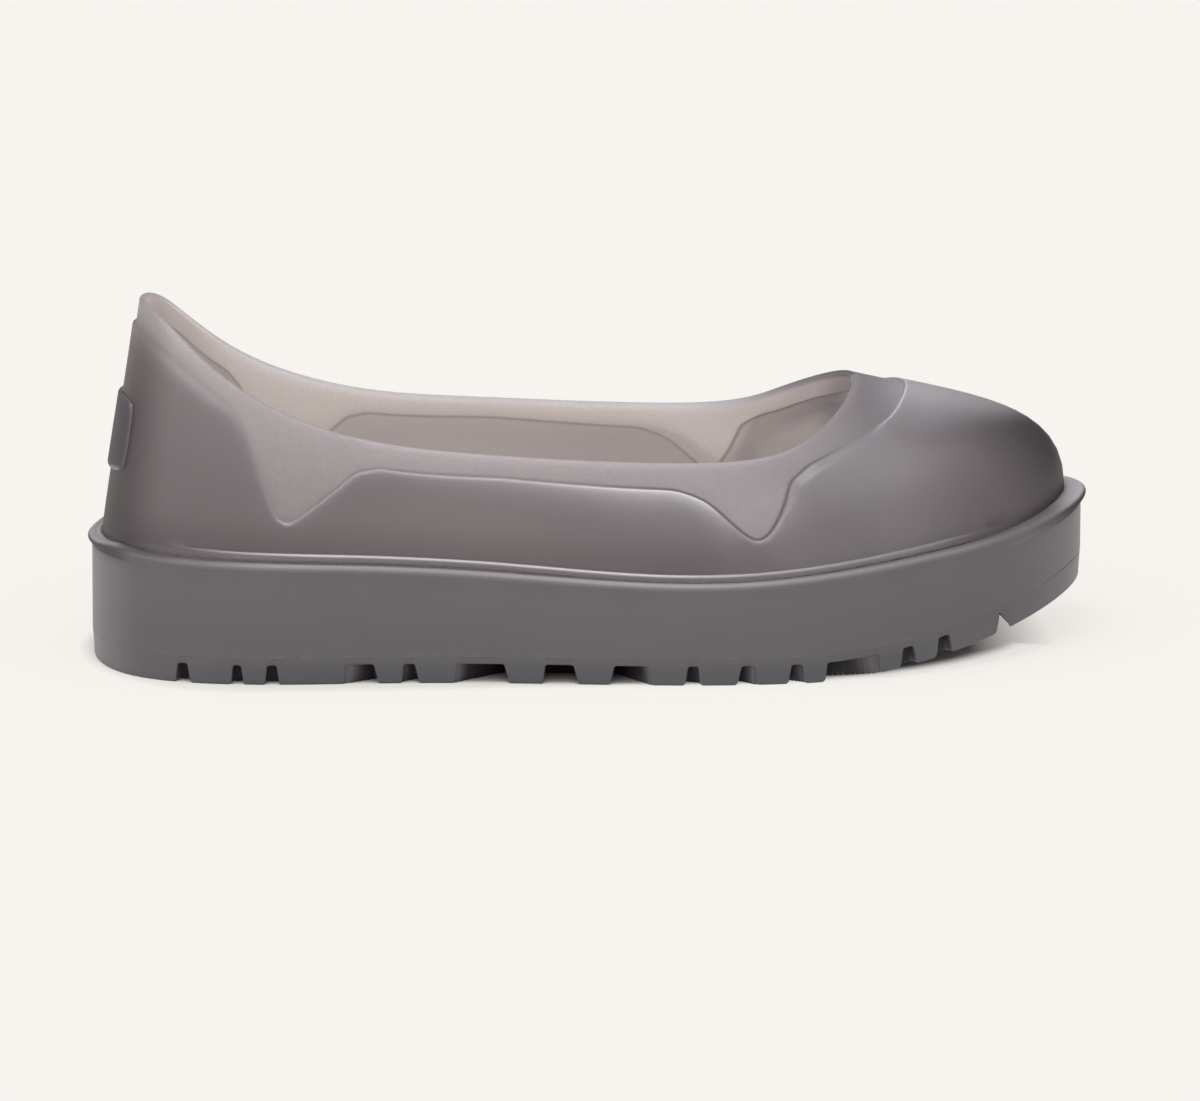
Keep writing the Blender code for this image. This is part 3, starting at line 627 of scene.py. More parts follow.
outer_keys = np.linspace(0.0, TOE_KEY, SOLE_COLUMNS // 2 + 1)
inner_keys = np.linspace(TOE_KEY, AROUND, SOLE_COLUMNS // 2 + 1)[1:-1]
sole_keys = np.concatenate([outer_keys, inner_keys])
sole_section = sections_at(sole_keys)
sole_foot = edge_inset(sole_section.rim_x)
seam_depth = SEAM_GROOVE * smooth_share(sole_section.rim_x, *SEAM_FROM)
under_line = inside_rim(sole_keys, sole_foot + seam_depth, 0.0)
under_height = rocker(under_line[:, 0]) + TREAD_TOP
end_share = smooth_share(np.abs(outward_at(sole_keys)[:, 0]), *LIP_END_FACING)[:, None]
sole_rows = [on_rocker(under_line, TREAD_TOP)]


def through(runs, values, places):
    """A smooth open curve through values at rising runs, with each slope taken from the two neighbours."""
    slopes = np.gradient(values, runs)
    row = np.clip(np.searchsorted(runs, places, side="right") - 1, 0, len(runs) - 2)
    gap = runs[row + 1] - runs[row]
    t = (places - runs[row]) / gap
    return (
        values[row] * (1 + 2 * t) * (1 - t) ** 2
        + values[row + 1] * t * t * (3 - 2 * t)
        + slopes[row] * gap * t * (1 - t) ** 2
        - slopes[row + 1] * gap * t * t * (1 - t)
    )


def peak(values, middle, width):
    """1 at the middle, falling away to nothing on both sides."""
    return np.exp(-(((values - middle) / width) ** 2))


def column_values(places, table):
    """A table's values at those places, as one column to go with rows of points."""
    return np.interp(places, *table)[:, None]


# The lip is a plain rounded edge along the sides, and a fuller roll over a hollow at the two ends. It dips
# behind the heel, and its inner half spreads to meet the upper.
lip_table = np.array([line[1:] for line in LIP]).T
lip_runs = np.concatenate([[0.0], np.cumsum(np.hypot(np.diff(lip_table[0]), np.diff(lip_table[1])))])
lip_places = np.linspace(0.0, lip_runs[-1], LIP_STEPS * len(LIP))
lip_lines = [through(lip_runs, line, lip_places) for line in lip_table]
side_insets, side_heights, end_insets, end_heights = lip_lines
lip_insets = side_insets + (end_insets - side_insets) * end_share
lip_heights = side_heights + (end_heights - side_heights) * end_share
heel_dip = HEEL_DIP * smooth_share(-outward_at(sole_keys)[:, :1], *HEEL_DIP_FACING)
lip_heights *= 1 - heel_dip * (1 - HEEL_DIP_LEFT * smooth_share(lip_insets, *HEEL_DIP_INSETS))
lip_room = (sole_section.inset - PANEL_RISE)[:, None] / LIP[-1].inset
lip_insets = lip_insets * (1 + (lip_room - 1) * lip_insets / LIP[-1].inset)
lip_lean = np.degrees(np.arctan2(np.gradient(lip_insets, axis=1), np.gradient(lip_heights, axis=1)))
for share in np.linspace(0.0, 1.0, SOLE_WALL_ROWS)[:-1]:
    inset = sole_foot + (lip_insets[:, 0] - sole_foot) * share
    low = under_height + seam_depth
    height = low + (sole_section.rim_z + lip_heights[:, 0] - low) * share
    sole_rows.append(inside_rim(sole_keys, inset, height))
lip_start = len(sole_rows)
for inset, height in zip(lip_insets.T, lip_heights.T):
    sole_rows.append(inside_rim(sole_keys, inset, sole_section.rim_z + height))
cup = sole_section.inset + BAND_WALL + LEDGE_PAST_UPPER
floor_edge = inside_rim(sole_keys, cup + CUP_FILLET, 0.0)
floor_height = rocker(floor_edge[:, 0]) + FLOOR_HEIGHT
ledge = sole_section.rim_z + LEDGE_HEIGHT
sole_rows.append(inside_rim(sole_keys, cup - LEDGE_EDGE, ledge))
sole_rows.append(inside_rim(sole_keys, cup, ledge - LEDGE_EDGE))
for share in np.linspace(0.0, 1.0, CUP_ROWS)[1:-1]:
    low = floor_height + CUP_FILLET
    sole_rows.append(inside_rim(sole_keys, cup, low + (ledge - low) * (1 - share)))
for turn in np.linspace(0.0, math.pi / 2, FILLET_ROWS):
    inset = cup + CUP_FILLET * (1 - math.cos(turn))
    sole_rows.append(inside_rim(sole_keys, inset, floor_height + CUP_FILLET * (1 - math.sin(turn))))
sole_side = np.stack(sole_rows, axis=1)
sole_floor = on_rocker(fill_across(sole_side[:, -1], FILL_STEPS), FLOOR_HEIGHT)
sole_under = on_rocker(fill_across(sole_side[:, 0], FILL_STEPS), TREAD_TOP)

# What the material reads: how much painted shade darkens the wall below the rim, how much painted light lies
# on the lip's crest and the two ends of the wall, and how much painted shade lies under the lip and on its
# top near the ends
# Painted shade: the wall darkens the further below the rim it lies
shade_below_rim = np.maximum(sole_section.rim_z[:, None] - sole_side[:, :, 2], 0.0) / RIM_SHADE_DEPTH
lip_rows = slice(lip_start, lip_start + len(lip_places))
painted_light = np.zeros(sole_side.shape[:2])
crest_spread = np.where(lip_lean < CREST_LEAN, *CREST_SPREADS)
painted_light[:, lip_rows] = peak(lip_lean, CREST_LEAN, crest_spread) * column_values(sole_section.rim_x, CREST_RUN)
painted_light[:, lip_rows] += smooth_share(lip_lean, *ROLL_LEANS) * column_values(sole_section.rim_x, ROLL_LIGHT)
painted_light[:, :lip_start] = END_LIGHT * smooth_share(np.abs(outward_at(sole_keys)[:, :1]), *END_FACING)
# Painted shade under the lip's roll, along its sides and on its top near the ends
lip_painted_shade = np.zeros(sole_side.shape[:2])
lip_painted_shade[:, lip_rows] = smooth_share(-lip_lean, *HOLLOW_LEANS) * smooth_share(lip_heights, *HOLLOW_HEIGHTS)
lip_painted_shade *= column_values(sole_section.rim_x, HOLLOW_RUN)
side_hollow = SIDE_HOLLOW * peak(lip_lean, SIDE_HOLLOW_LEAN, SIDE_HOLLOW_SPREAD)
lip_painted_shade[:, lip_rows] += (1 - end_share) * side_hollow
lip_shade = smooth_share(lip_lean, *LIP_SHADE_LEANS) * column_values(sole_section.rim_x, LIP_SHADE)
lip_painted_shade[:, lip_rows] += lip_shade

sole = make_piece(
    "sole_cup",
    [
        Sheet(sole_side, True, {"shade_below_rim": shade_below_rim, "painted_light": painted_light, "painted_shade": lip_painted_shade}),
        Sheet(sole_floor, False, {}),
        Sheet(sole_under, False, {}),
    ],
    SOLE_SHARP,
)
sole.data.materials.append(sole_rubber)
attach(sole, "root")
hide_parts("sole")

# Upper
# One moulded shell of see-through rubber, which stands in the sole's groove: a thin frosted band round the
# collar with two pointed tongues on each side, and a thicker clear panel below it that stands proud and ends
# in a bead above the lip of the sole.
OUTWARD_PULL = 8.0

# Names that end in X hold places along the shoe, in a table's first row. The other places here are runs along
# the collar's edge from the back of the heel.
STEP_RUN = (
    (0.0, 8.0, 14.0, 48.0, 56.0, 62.0, 200.0, 208.0, 227.0, 234.0),
    (0.6, 0.8, 6.0, 6.0, 2.2, 0.6, 0.6, 5.0, 5.0, 0.8),
)
COLLAR_ROUND = 0.9
BEAD_HEIGHT = 2.2
BEAD_DIP = 0.5
BEAD_DIP_X = (105.0, 165.0)
BEAD_RADIUS = 1.1
BEAD_PROUD = 0.9
BEAD_FADE_HEEL_X = (14.0, 46.0)
BEAD_FADE_TOE_X = (240.0, 272.0)
BEAD_ROWS = 13
PANEL_ROWS = 22
PANEL_CROWDING = 1.6
STEP_PROFILE = ((0.2, 0.98), (0.4, 0.88), (0.55, 0.66), (0.7, 0.36), (0.85, 0.1), (1.0, 0.0))
BAND_ROWS = 8
EDGE_ROWS = (0.25, 0.5, 0.8, 1.2)
INNER_SHIFT = 3.5
INNER_SHIFT_RUN = (150.0, 180.0)
INNER_DROP = ((18.0, 28.0, 40.0, 46.0, 56.0, 210.0, 222.0), (0.3, 0.7, 1.9, 2.2, 0.3, 0.3, -0.8))
INNER_ROWS = 10
COLLAR_ROWS = 9
WALL_SAMPLES = 61
COLLAR_SAMPLES = 1200
COLUMN_SAMPLES = 6000
SHORT_SHARE = 0.01
UPPER_STEP = 1.8
UPPER_SHARP = 60.0
SMALLEST = 1e-9

# Lower edge of the band, the same on both sides. run: distance along the collar's edge from the back of
# the heel. depth: how far the band reaches down the wall there.
BandEdge = namedtuple("BandEdge", "name run depth")
BAND_EDGES = (
    BandEdge("heel", 0.0, 7.6),
    BandEdge("heel_corner", 30.0, 6.6),
    BandEdge("rear_shoulder", 47.0, 6.8),
    BandEdge("rear_tongue_start", 51.4, 11.0),
    BandEdge("rear_tongue_back", 59.0, 31.2),
    BandEdge("rear_tongue_tip", 61.7, 32.4),
    BandEdge("rear_tongue_front", 65.2, 30.0),
    BandEdge("rear_tongue_end", 84.4, 10.4),
    BandEdge("quarter", 91.0, 7.8),
    BandEdge("waist", 128.0, 6.5),
    BandEdge("front_shoulder", 177.0, 8.0),
    BandEdge("front_tongue_start", 185.4, 11.6),
    BandEdge("front_tongue_back", 193.2, 23.2),
    BandEdge("front_tongue_tip", 194.9, 24.6),
    BandEdge("front_tongue_front", 197.0, 23.0),
    BandEdge("front_tongue_end", 204.6, 10.4),
    BandEdge("throat_shoulder", 210.0, 8.4),
    BandEdge("throat_side", 222.0, 9.7),
    BandEdge("throat_corner", 236.0, 13.8),
    BandEdge("throat_front", 260.0, 15.7),
)
EDGE_SOFTNESS = 0.8
SHOULDER_SOFTNESS = 2.2
SHOULDER_RUN = (
    (160.0, 168.0, 186.0, 190.0, 200.0, 206.0, 222.0, 230.0),
    (0.0, 1.0, 1.0, 0.0, 0.0, 0.5, 0.5, 0.0),
)
THROAT_LIFT = ((200.0, 205.0, 212.0, 222.0), (0.0, 1.1, 1.1, 0.0))
SOFTENING_REACH = 9.0
RUN_MARGIN = 20.0
RUN_STEP = 0.25


def wall_points(keys, t):
    """Points on the outer face of the band's wall: t is 0 at its foot and 1 at the collar."""
    section = sections_at(keys)
    foot = inside_rim(keys, section.inset, section.rim_z + LEDGE_HEIGHT + SEAM)
    top = np.column_stack([section.top_x, section.top_y, section.top_z])
    level = (foot - top) * (1, 1, 0) + outward_at(keys) * OUTWARD_PULL
    level /= np.linalg.norm(level, axis=1, keepdims=True)
    flare = np.radians(section.flare)[:, None]
    drop = np.radians(section.drop)[:, None]
    low = foot + section.rise[:, None] * (np.cos(flare) * UP + np.sin(flare) * level)
    high = top + section.reach[:, None] * (np.cos(drop) * level - np.sin(drop) * UP)
    t = t[..., None]
    s = 1 - t
    ends = s**3 * foot[:, None] + t**3 * top[:, None]
    return ends + 3 * s * s * t * low[:, None] + 3 * s * t * t * high[:, None]


def wall_lengths(keys):
    """Lengths up the wall from its foot at even steps of t, one row for each key."""
    t = np.tile(np.linspace(0.0, 1.0, WALL_SAMPLES), (len(keys), 1))
    steps = np.linalg.norm(np.diff(wall_points(keys, t), axis=1), axis=2)
    return np.concatenate([np.zeros((len(keys), 1)), np.cumsum(steps, axis=1)], axis=1)


def off_wall(keys, lengths, offsets):
    """Points at those lengths up the wall, moved out of its surface by the offsets."""
    scales = wall_lengths(keys)
    even = np.linspace(0.0, 1.0, WALL_SAMPLES)
    t = np.array([np.interp(row, scale, even) for row, scale in zip(lengths, scales)])
    along = wall_points(keys + SHORT_STEP, t) - wall_points(keys - SHORT_STEP, t)
    upward = wall_points(keys, t + SHORT_SHARE) - wall_points(keys, t - SHORT_SHARE)
    normal = np.cross(along, upward)
    normal /= np.linalg.norm(normal, axis=2, keepdims=True)
    return wall_points(keys, t) + normal * offsets[..., None]


def collar_runs(keys):
    """Distance along the collar's edge from the first of these keys to each of them."""
    edge = wall_points(keys, np.ones((len(keys), 1)))[:, 0]
    return np.concatenate([[0.0], np.cumsum(np.linalg.norm(np.diff(edge, axis=0), axis=1))])


fine_outer = np.linspace(0.0, TOE_KEY, COLLAR_SAMPLES)
fine_inner = np.linspace(AROUND, TOE_KEY, COLLAR_SAMPLES)
outer_runs = collar_runs(fine_outer)
inner_runs = collar_runs(fine_inner)
inner_runs *= outer_runs[-1] / inner_runs[-1]

# The band's edge is drawn through its corners and softened, as the mould's cutter leaves it
even_runs = np.arange(-RUN_MARGIN, outer_runs[-1] + RUN_MARGIN, RUN_STEP)
sharp_depth = np.interp(
    np.abs(np.where(even_runs > outer_runs[-1], 2 * outer_runs[-1] - even_runs, even_runs)),
    [e.run for e in BAND_EDGES],
    [e.depth for e in BAND_EDGES],
)
softened = []
nearby = np.arange(-SOFTENING_REACH, SOFTENING_REACH + RUN_STEP / 2, RUN_STEP)
for softness in (EDGE_SOFTNESS, SHOULDER_SOFTNESS):
    spread = np.exp(-0.5 * (nearby / softness) ** 2)
    softened.append(np.convolve(sharp_depth, spread / spread.sum(), mode="same"))
soft_depth = softened[0] + (softened[1] - softened[0]) * np.interp(even_runs, *SHOULDER_RUN)
soft_depth -= np.interp(even_runs, *THROAT_LIFT)
soft_slope = np.gradient(soft_depth, even_runs)


def run_at(keys):
    """Distance along the collar from the heel, with the inner side scaled to the outer one's length."""
    outer = np.interp(keys, fine_outer, outer_runs)
    inner = np.interp(-keys, -fine_inner, inner_runs)
    return np.where(keys <= TOE_KEY, outer, inner)


# Columns stand closer together where the band's edge runs steeply down the wall
dense_keys = np.linspace(0.0, AROUND, COLUMN_SAMPLES)
dense_slope = np.abs(np.interp(run_at(dense_keys), even_runs, soft_slope))
density = (1 + dense_slope) / UPPER_STEP
count = np.concatenate([[0.0], np.cumsum((density[1:] + density[:-1]) / 2 * np.diff(dense_keys))])
upper_keys = np.interp(np.linspace(0.0, count[-1], int(count[-1])), count, dense_keys)[:-1]

upper_section = sections_at(upper_keys)
upper_run = run_at(upper_keys)
on_inner_side = upper_keys > TOE_KEY
band_slope = np.interp(upper_run, even_runs, soft_slope)
slant = np.sqrt(1 + band_slope**2)
top = wall_lengths(upper_keys)[:, -1]
step = top - np.interp(upper_run, even_runs, soft_depth)
step_run = np.interp(upper_run, *STEP_RUN) * slant
bead_height = BEAD_HEIGHT - BEAD_DIP * smooth_share(upper_section.rim_x, *BEAD_DIP_X)
bead = BEAD_PROUD * smooth_share(upper_section.rim_x, *BEAD_FADE_HEEL_X)
bead *= 1 - smooth_share(upper_section.rim_x, *BEAD_FADE_TOE_X)
still = np.ones(len(upper_keys))

# Rows of the shell's cross-section, up the outside, over the collar and down the inside: each is a length up
# the wall and an offset from the band's face
shell_rows = [(0.0 * still, PANEL_RISE * still)]
for turn in np.linspace(0.0, math.pi, BEAD_ROWS):
    shell_rows.append((bead_height - BEAD_RADIUS * math.cos(turn), PANEL_RISE + bead * math.sin(turn)))
panel_foot = bead_height + BEAD_RADIUS
panel_top = step - step_run
for share in 1 - (1 - np.linspace(0.0, 1.0, PANEL_ROWS)[1:]) ** PANEL_CROWDING:
    shell_rows.append((panel_foot + (panel_top - panel_foot) * share, PANEL_RISE * still))
for share, height in STEP_PROFILE:
    shell_rows.append((panel_top + step_run * share, PANEL_RISE * height * still))
for away in EDGE_ROWS:
    shell_rows.append((step + away * slant, 0.0 * still))
band_foot = step + EDGE_ROWS[-1] * slant
for share in np.linspace(0.0, 1.0, BAND_ROWS)[1:]:
    shell_rows.append((band_foot + (top - COLLAR_ROUND - band_foot) * share, 0.0 * still))
for turn in np.linspace(0.0, math.pi, COLLAR_ROWS)[1:]:
    length = top - COLLAR_ROUND + COLLAR_ROUND * math.sin(turn)
    shell_rows.append((length, (math.cos(turn) - 1) * BAND_WALL / 2 * still))
outside_count = len(shell_rows)
inner_run = upper_run + INNER_SHIFT * smooth_share(upper_run, *INNER_SHIFT_RUN) * on_inner_side
inner_slant = np.sqrt(1 + np.interp(inner_run, even_runs, soft_slope) ** 2)
inner_edge = top - np.interp(inner_run, even_runs, soft_depth)
inner_edge -= np.interp(upper_run, *INNER_DROP) * inner_slant
for share in np.linspace(0.0, 1.0, BAND_ROWS)[1:]:
    low = inner_edge + EDGE_ROWS[-1] * inner_slant
    shell_rows.append((top - COLLAR_ROUND + (low + COLLAR_ROUND - top) * share, -BAND_WALL * still))
for away in (*EDGE_ROWS[-2::-1], 0.0, *[-away for away in EDGE_ROWS]):
    shell_rows.append((inner_edge + away * inner_slant, -BAND_WALL * still))
for share in np.linspace(0.0, 1.0, INNER_ROWS)[1:]:
    shell_rows.append(((inner_edge - EDGE_ROWS[-1] * inner_slant) * (1 - share), -BAND_WALL * still))
shell_rows.append(shell_rows[0])
shell_lengths = np.stack([row[0] for row in shell_rows], axis=1)
shell_offsets = np.stack([row[1] for row in shell_rows], axis=1)

# What the material reads. At the band's lower edge: how soft it looks and how far it sits below the step, how
# much painted light lies on the panel's top edge and on the strip under it, and how dark the painted shade
# line there is.
EDGE_BLUR = (
    (0.0, 30.0, 44.0, 52.0, 60.0, 64.0, 203.0, 211.0, 217.0, 227.0, 233.0),
    (6.5, 6.5, 4.0, 1.8, 1.0, 0.35, 0.35, 1.4, 5.0, 5.0, 0.4),
)
INNER_BLUR = 0.3
EDGE_DROP = ((0.0, 8.0, 14.0, 46.0, 54.0, 60.0), (0.3, 0.4, 1.3, 1.2, 0.5, 0.3))
EDGE_LIGHT = (
    (57, 60, 62.5, 66, 78, 86, 120, 160, 185, 193, 195, 197, 204, 230, 232, 245),
    (0.0, 0.7, 0.7, 0.0, 0.05, 0.3, 0.25, 0.3, 0.15, 0.2, 0.35, 0.15, 0.0, 0.0, 0.45, 0.5),
)
EDGE_LIGHT_AT = -0.4
EDGE_LIGHT_WIDTH = 0.35
LIGHT_SLANT = 0.4
EDGE_GLOW = (
    (84.0, 100.0, 125.0, 145.0, 165.0, 180.0, 184.0, 188.0, 192.0, 195.0, 197.0, 202.0, 206.0, 214.0, 236.0),
    (0.05, 0.2, 0.45, 0.6, 0.85, 1.0, 1.0, 0.5, 0.1, 0.1, 0.25, 0.25, 0.12, 0.05, 0.05),
)
GLOW_REACH = ((165.0, 186.0, 196.0), (4.2, 2.6, 5.5))
EDGE_DARK = (
    (60.0, 66.0, 86.0, 150.0, 175.0, 212.0, 217.0, 222.0),
    (0.0, 0.1, 0.3, 0.35, 0.8, 0.8, 0.3, 0.0),
)
EDGE_DARK_AT = 0.5
EDGE_DARK_WIDTH = 0.35
INNER_DARK = ((150.0, 185.0, 195.0, 215.0), (0.45, 0.35, 0.6, 0.8))
INNER_DARK_WIDTH = 0.45

# Round the collar: how much painted shade darkens its edge on the outer side and on the inner one, and the
# run from which the inner one has the painted shade of the inside
COLLAR_DARK = (
    (0.0, 24.0, 34.0, 80.0, 95.0, 205.0, 225.0, 245.0, 259.0),
    (0.1, 0.3, 0.55, 0.55, 0.25, 0.35, 0.4, 0.35, 0.4),
)
FAR_COLLAR_DARK = (
    (0.0, 10.0, 20.0, 185.0, 200.0, 208.0, 215.0, 222.0, 232.0, 250.0, 259.0),
    (0.1, 0.1, 0.1, 0.15, 0.2, 0.25, 0.3, 0.35, 0.45, 0.5, 0.4),
)
FAR_COLLAR_FROM = 165.0

# The painted light on the bead, which lies at a turn round it in radians, on the strip under it, on the toe's
# top and on the vamp before the throat. VAMP_THIN thins the panel's colour over the vamp, so it is paler
# there.
BEAD_LIGHT_X = (
    (20.0, 33.0, 42.0, 52.0, 62.0, 160.0, 194.0, 222.0, 250.0),
    (0.0, 0.25, 0.5, 0.75, 1.0, 1.0, 0.6, 0.25, 0.1),
)
BEAD_LIGHT_TURN = 2.2
BEAD_LIGHT_WIDTH = 0.42
STRIP_LIGHT = 0.26
TOE_TOP_LIGHT = 0.62
TOE_TOP_FACING = (0.8, 0.97)
TOE_TOP_X = (220.0, 244.0)
VAMP_START_X = (188.0, 222.0)
VAMP_END_X = (225.0, 264.0)
VAMP_LIGHT = 0.17
VAMP_THIN = 0.22

# How much of the panel's colour the band takes on at the throat, and how much of it shows on the inside:
# less shows there, and least on the far side, which paints light into the inside
THROAT_TINT = 0.92
THROAT_TINT_RUN = (182.0, 228.0)
THROAT_TINT_DEPTHS = (8.0, 14.0)
THROAT_DEPTHS_END = (200.0, 210.0)
INNER_PANEL_SHARE = 0.72
FAR_PANEL_SHARE = 0.45
FAR_PANEL_SHARE_START = (0.0, 30.0)
FAR_PANEL_SHARE_END_X = (180.0, 205.0)

shell = off_wall(upper_keys, shell_lengths, shell_offsets)
shell_x = shell[:, :, 0]
outside = np.arange(len(shell_rows)) < outside_count
edge = step - np.interp(upper_run, *EDGE_DROP) * slant
past_step = np.where(
    outside,
    (shell_lengths - edge[:, None]) / slant[:, None],
    (shell_lengths - inner_edge[:, None]) / inner_slant[:, None],
)
depth = top[:, None] - shell_lengths
edge_blur = np.where(outside, column_values(upper_run, EDGE_BLUR), INNER_BLUR)
panel_share = 1 - smooth_share(past_step, -edge_blur, edge_blur)
throat = THROAT_TINT * smooth_share(upper_run, *THROAT_TINT_RUN)[:, None] * outside
throat_start = 1 - smooth_share(upper_run, *THROAT_DEPTHS_END)[:, None]
throat *= 1 - smooth_share(depth, *THROAT_TINT_DEPTHS) * throat_start
panel_share += (1 - panel_share) * throat
vamp = smooth_share(shell_x, *VAMP_START_X) * (1 - smooth_share(shell_x, *VAMP_END_X))
# Painted light: the inside takes less of the panel's colour, and the far side's inside least
far_side = on_inner_side[:, None] * (1 - smooth_share(shell_x, *FAR_PANEL_SHARE_END_X))
far_side *= smooth_share(upper_run, *FAR_PANEL_SHARE_START)[:, None]
inner_panel_share = INNER_PANEL_SHARE + (FAR_PANEL_SHARE - INNER_PANEL_SHARE) * far_side
panel_share *= np.where(outside, 1 - VAMP_THIN * vamp, inner_panel_share)

# Painted light on the step's edge, the panel's top edge, the bead, the strip under it, the toe's top and the
# vamp
faces_light = np.clip((1 - LIGHT_SLANT * band_slope) / slant, 0.0, 1.0)
edge_light = peak(past_step, EDGE_LIGHT_AT, EDGE_LIGHT_WIDTH)
edge_light *= (faces_light * np.interp(upper_run, *EDGE_LIGHT))[:, None]
glow = np.exp(np.minimum(past_step, 0.0) / column_values(upper_run, GLOW_REACH)) * (past_step < 0)
glow *= column_values(upper_run, EDGE_GLOW)
bead_turn = np.full(len(shell_rows), math.inf)
bead_turn[1 : 1 + BEAD_ROWS] = np.linspace(0.0, math.pi, BEAD_ROWS)
bead_crest = peak(bead_turn, BEAD_LIGHT_TURN, BEAD_LIGHT_WIDTH)
bead_crest = bead_crest * column_values(upper_section.rim_x, BEAD_LIGHT_X)
strip = STRIP_LIGHT * (shell_lengths < bead_height[:, None]) * (bead / BEAD_PROUD)[:, None]
square_to = np.cross(np.roll(shell, -1, axis=0) - np.roll(shell, 1, axis=0), np.gradient(shell, axis=1))
faces_up = square_to[:, :, 2] / np.maximum(np.linalg.norm(square_to, axis=2), SMALLEST)
toe_top = TOE_TOP_LIGHT * smooth_share(faces_up, *TOE_TOP_FACING) * smooth_share(shell_x, *TOE_TOP_X)
outer_lit = edge_light + glow + np.maximum(bead_crest, strip) + toe_top + VAMP_LIGHT * vamp
outer_lit = np.clip(outer_lit, 0.0, 1.0)

# Painted shade: a dark line along the band's edge, outside and inside, and round the collar's edge
outer_shade_line = peak(past_step, EDGE_DARK_AT, EDGE_DARK_WIDTH) * column_values(upper_run, EDGE_DARK)
collar_turn = np.linspace(0.0, math.pi, COLLAR_ROWS)[1:]
collar_rows = slice(outside_count - len(collar_turn), outside_count)
collar_dark = np.where(
    upper_keys < TOE_KEY,
    np.interp(upper_run, *COLLAR_DARK),
    np.interp(upper_run, *FAR_COLLAR_DARK),
)
outer_shade_line[:, collar_rows] += np.sin(collar_turn) * collar_dark[:, None]
far_collar = np.zeros(shell.shape[:2], bool)
far_collar[:, collar_rows] = (on_inner_side & (upper_run > FAR_COLLAR_FROM))[:, None]
inner_shade_line = column_values(upper_run, INNER_DARK) * peak(past_step, 0.0, INNER_DARK_WIDTH)

# Painted shade darkens the wall at the two ends of the shoe, at its foot and in the rear tongue, and on the
# inside at the heel and the throat.
HEEL_SHADE = 0.8
HEEL_FACING = (0.45, 1.0)
HEEL_HIGH_DEPTHS = (32.0, 12.0)
HEEL_HIGH_PART = 0.2
HEEL_EDGE_DEPTHS = (16.0, 3.0)
HEEL_EDGE_PART = 0.4
TOE_SHADE = 1.0
TOE_FACING = (0.58, 1.0)
TOE_SHADE_HEIGHTS = (20.0, 44.0)
FOOT_SHADE = 0.25
FOOT_SHADE_REACH = 12.0
FOOT_SHADE_END_X = (160.0, 210.0)
TONGUE_SHADE = 0.12
TONGUE_DEPTH = 30.0
TONGUE_START = (46.0, 54.0)
TONGUE_END = (80.0, 92.0)
THROAT_BAND_SHADE_X = (
    (172.0, 196.0, 204.0, 210.0, 215.0, 221.0, 226.0),
    (0.0, 0.06, 0.1, 0.27, 0.36, 0.68, 0.75),
)
THROAT_PANEL_SHADE_X = ((185.0, 204.0, 210.0, 215.0, 221.0, 226.0), (0.0, 0.33, 0.47, 0.62, 0.8, 0.48))
THROAT_PANEL_FADE = (3.0, 14.0)
THROAT_FADE_END_X = (214.0, 226.0)
HEEL_INSIDE_SHADE = 0.5
HEEL_INSIDE_START = (0.0, 12.0)
HEEL_INSIDE_END = (44.0, 56.0)
HEEL_INSIDE_DEPTH = 14.0
HEEL_BAND_PART = 0.4
HEEL_BAND_END = (28.0, 50.0)
INNER_WARMTH = 0.7


def end_shade(keys, lengths, top):
    """Painted shade on the wall at the heel and the toe, at lengths up a wall that ends at top."""
    facing = outward_at(keys)[:, :1]
    high = smooth_share(lengths, top - HEEL_HIGH_DEPTHS[0], top - HEEL_HIGH_DEPTHS[1])
    edge = smooth_share(lengths, top - HEEL_EDGE_DEPTHS[0], top - HEEL_EDGE_DEPTHS[1])
    heel = smooth_share(-facing, *HEEL_FACING) * (1 - HEEL_HIGH_PART * high - HEEL_EDGE_PART * edge)
    toe = smooth_share(facing, *TOE_FACING) * (1 - smooth_share(lengths, *TOE_SHADE_HEIGHTS))
    return HEEL_SHADE * heel + TOE_SHADE * toe


over_foot = shell_lengths - panel_foot[:, None]
foot_shade = FOOT_SHADE * (1 - smooth_share(over_foot, 0.0, FOOT_SHADE_REACH))
foot_shade *= smooth_share(shell_lengths, bead_height[:, None], panel_foot[:, None])
foot_shade *= 1 - smooth_share(shell_x, *FOOT_SHADE_END_X)
tongue_shade = TONGUE_SHADE * smooth_share(depth, 0.0, TONGUE_DEPTH) * (1 - panel_share)
tongue_run = smooth_share(upper_run, *TONGUE_START) * (1 - smooth_share(upper_run, *TONGUE_END))
tongue_shade *= tongue_run[:, None]
outer_clear = 1 - end_shade(upper_keys, shell_lengths, top[:, None])
outer_shade = 1 - outer_clear * (1 - foot_shade) * (1 - tongue_shade)
throat_fade = smooth_share(-past_step, *THROAT_PANEL_FADE) * (1 - smooth_share(shell_x, *THROAT_FADE_END_X))
throat_fade *= on_inner_side[:, None]
inner_shade = np.where(
    past_step > 0,
    np.interp(shell_x, *THROAT_BAND_SHADE_X),
    np.interp(shell_x, *THROAT_PANEL_SHADE_X) * (1 - throat_fade),
)
heel_band = HEEL_BAND_PART * (1 - smooth_share(upper_run, *HEEL_BAND_END))[:, None]
heel_inside = HEEL_INSIDE_SHADE * np.maximum(panel_share, heel_band)
heel_run = smooth_share(upper_run, *HEEL_INSIDE_START) * (1 - smooth_share(upper_run, *HEEL_INSIDE_END))
heel_inside *= heel_run[:, None]
heel_inside *= depth < HEEL_INSIDE_DEPTH
inner_shade += heel_inside * on_inner_side[:, None]

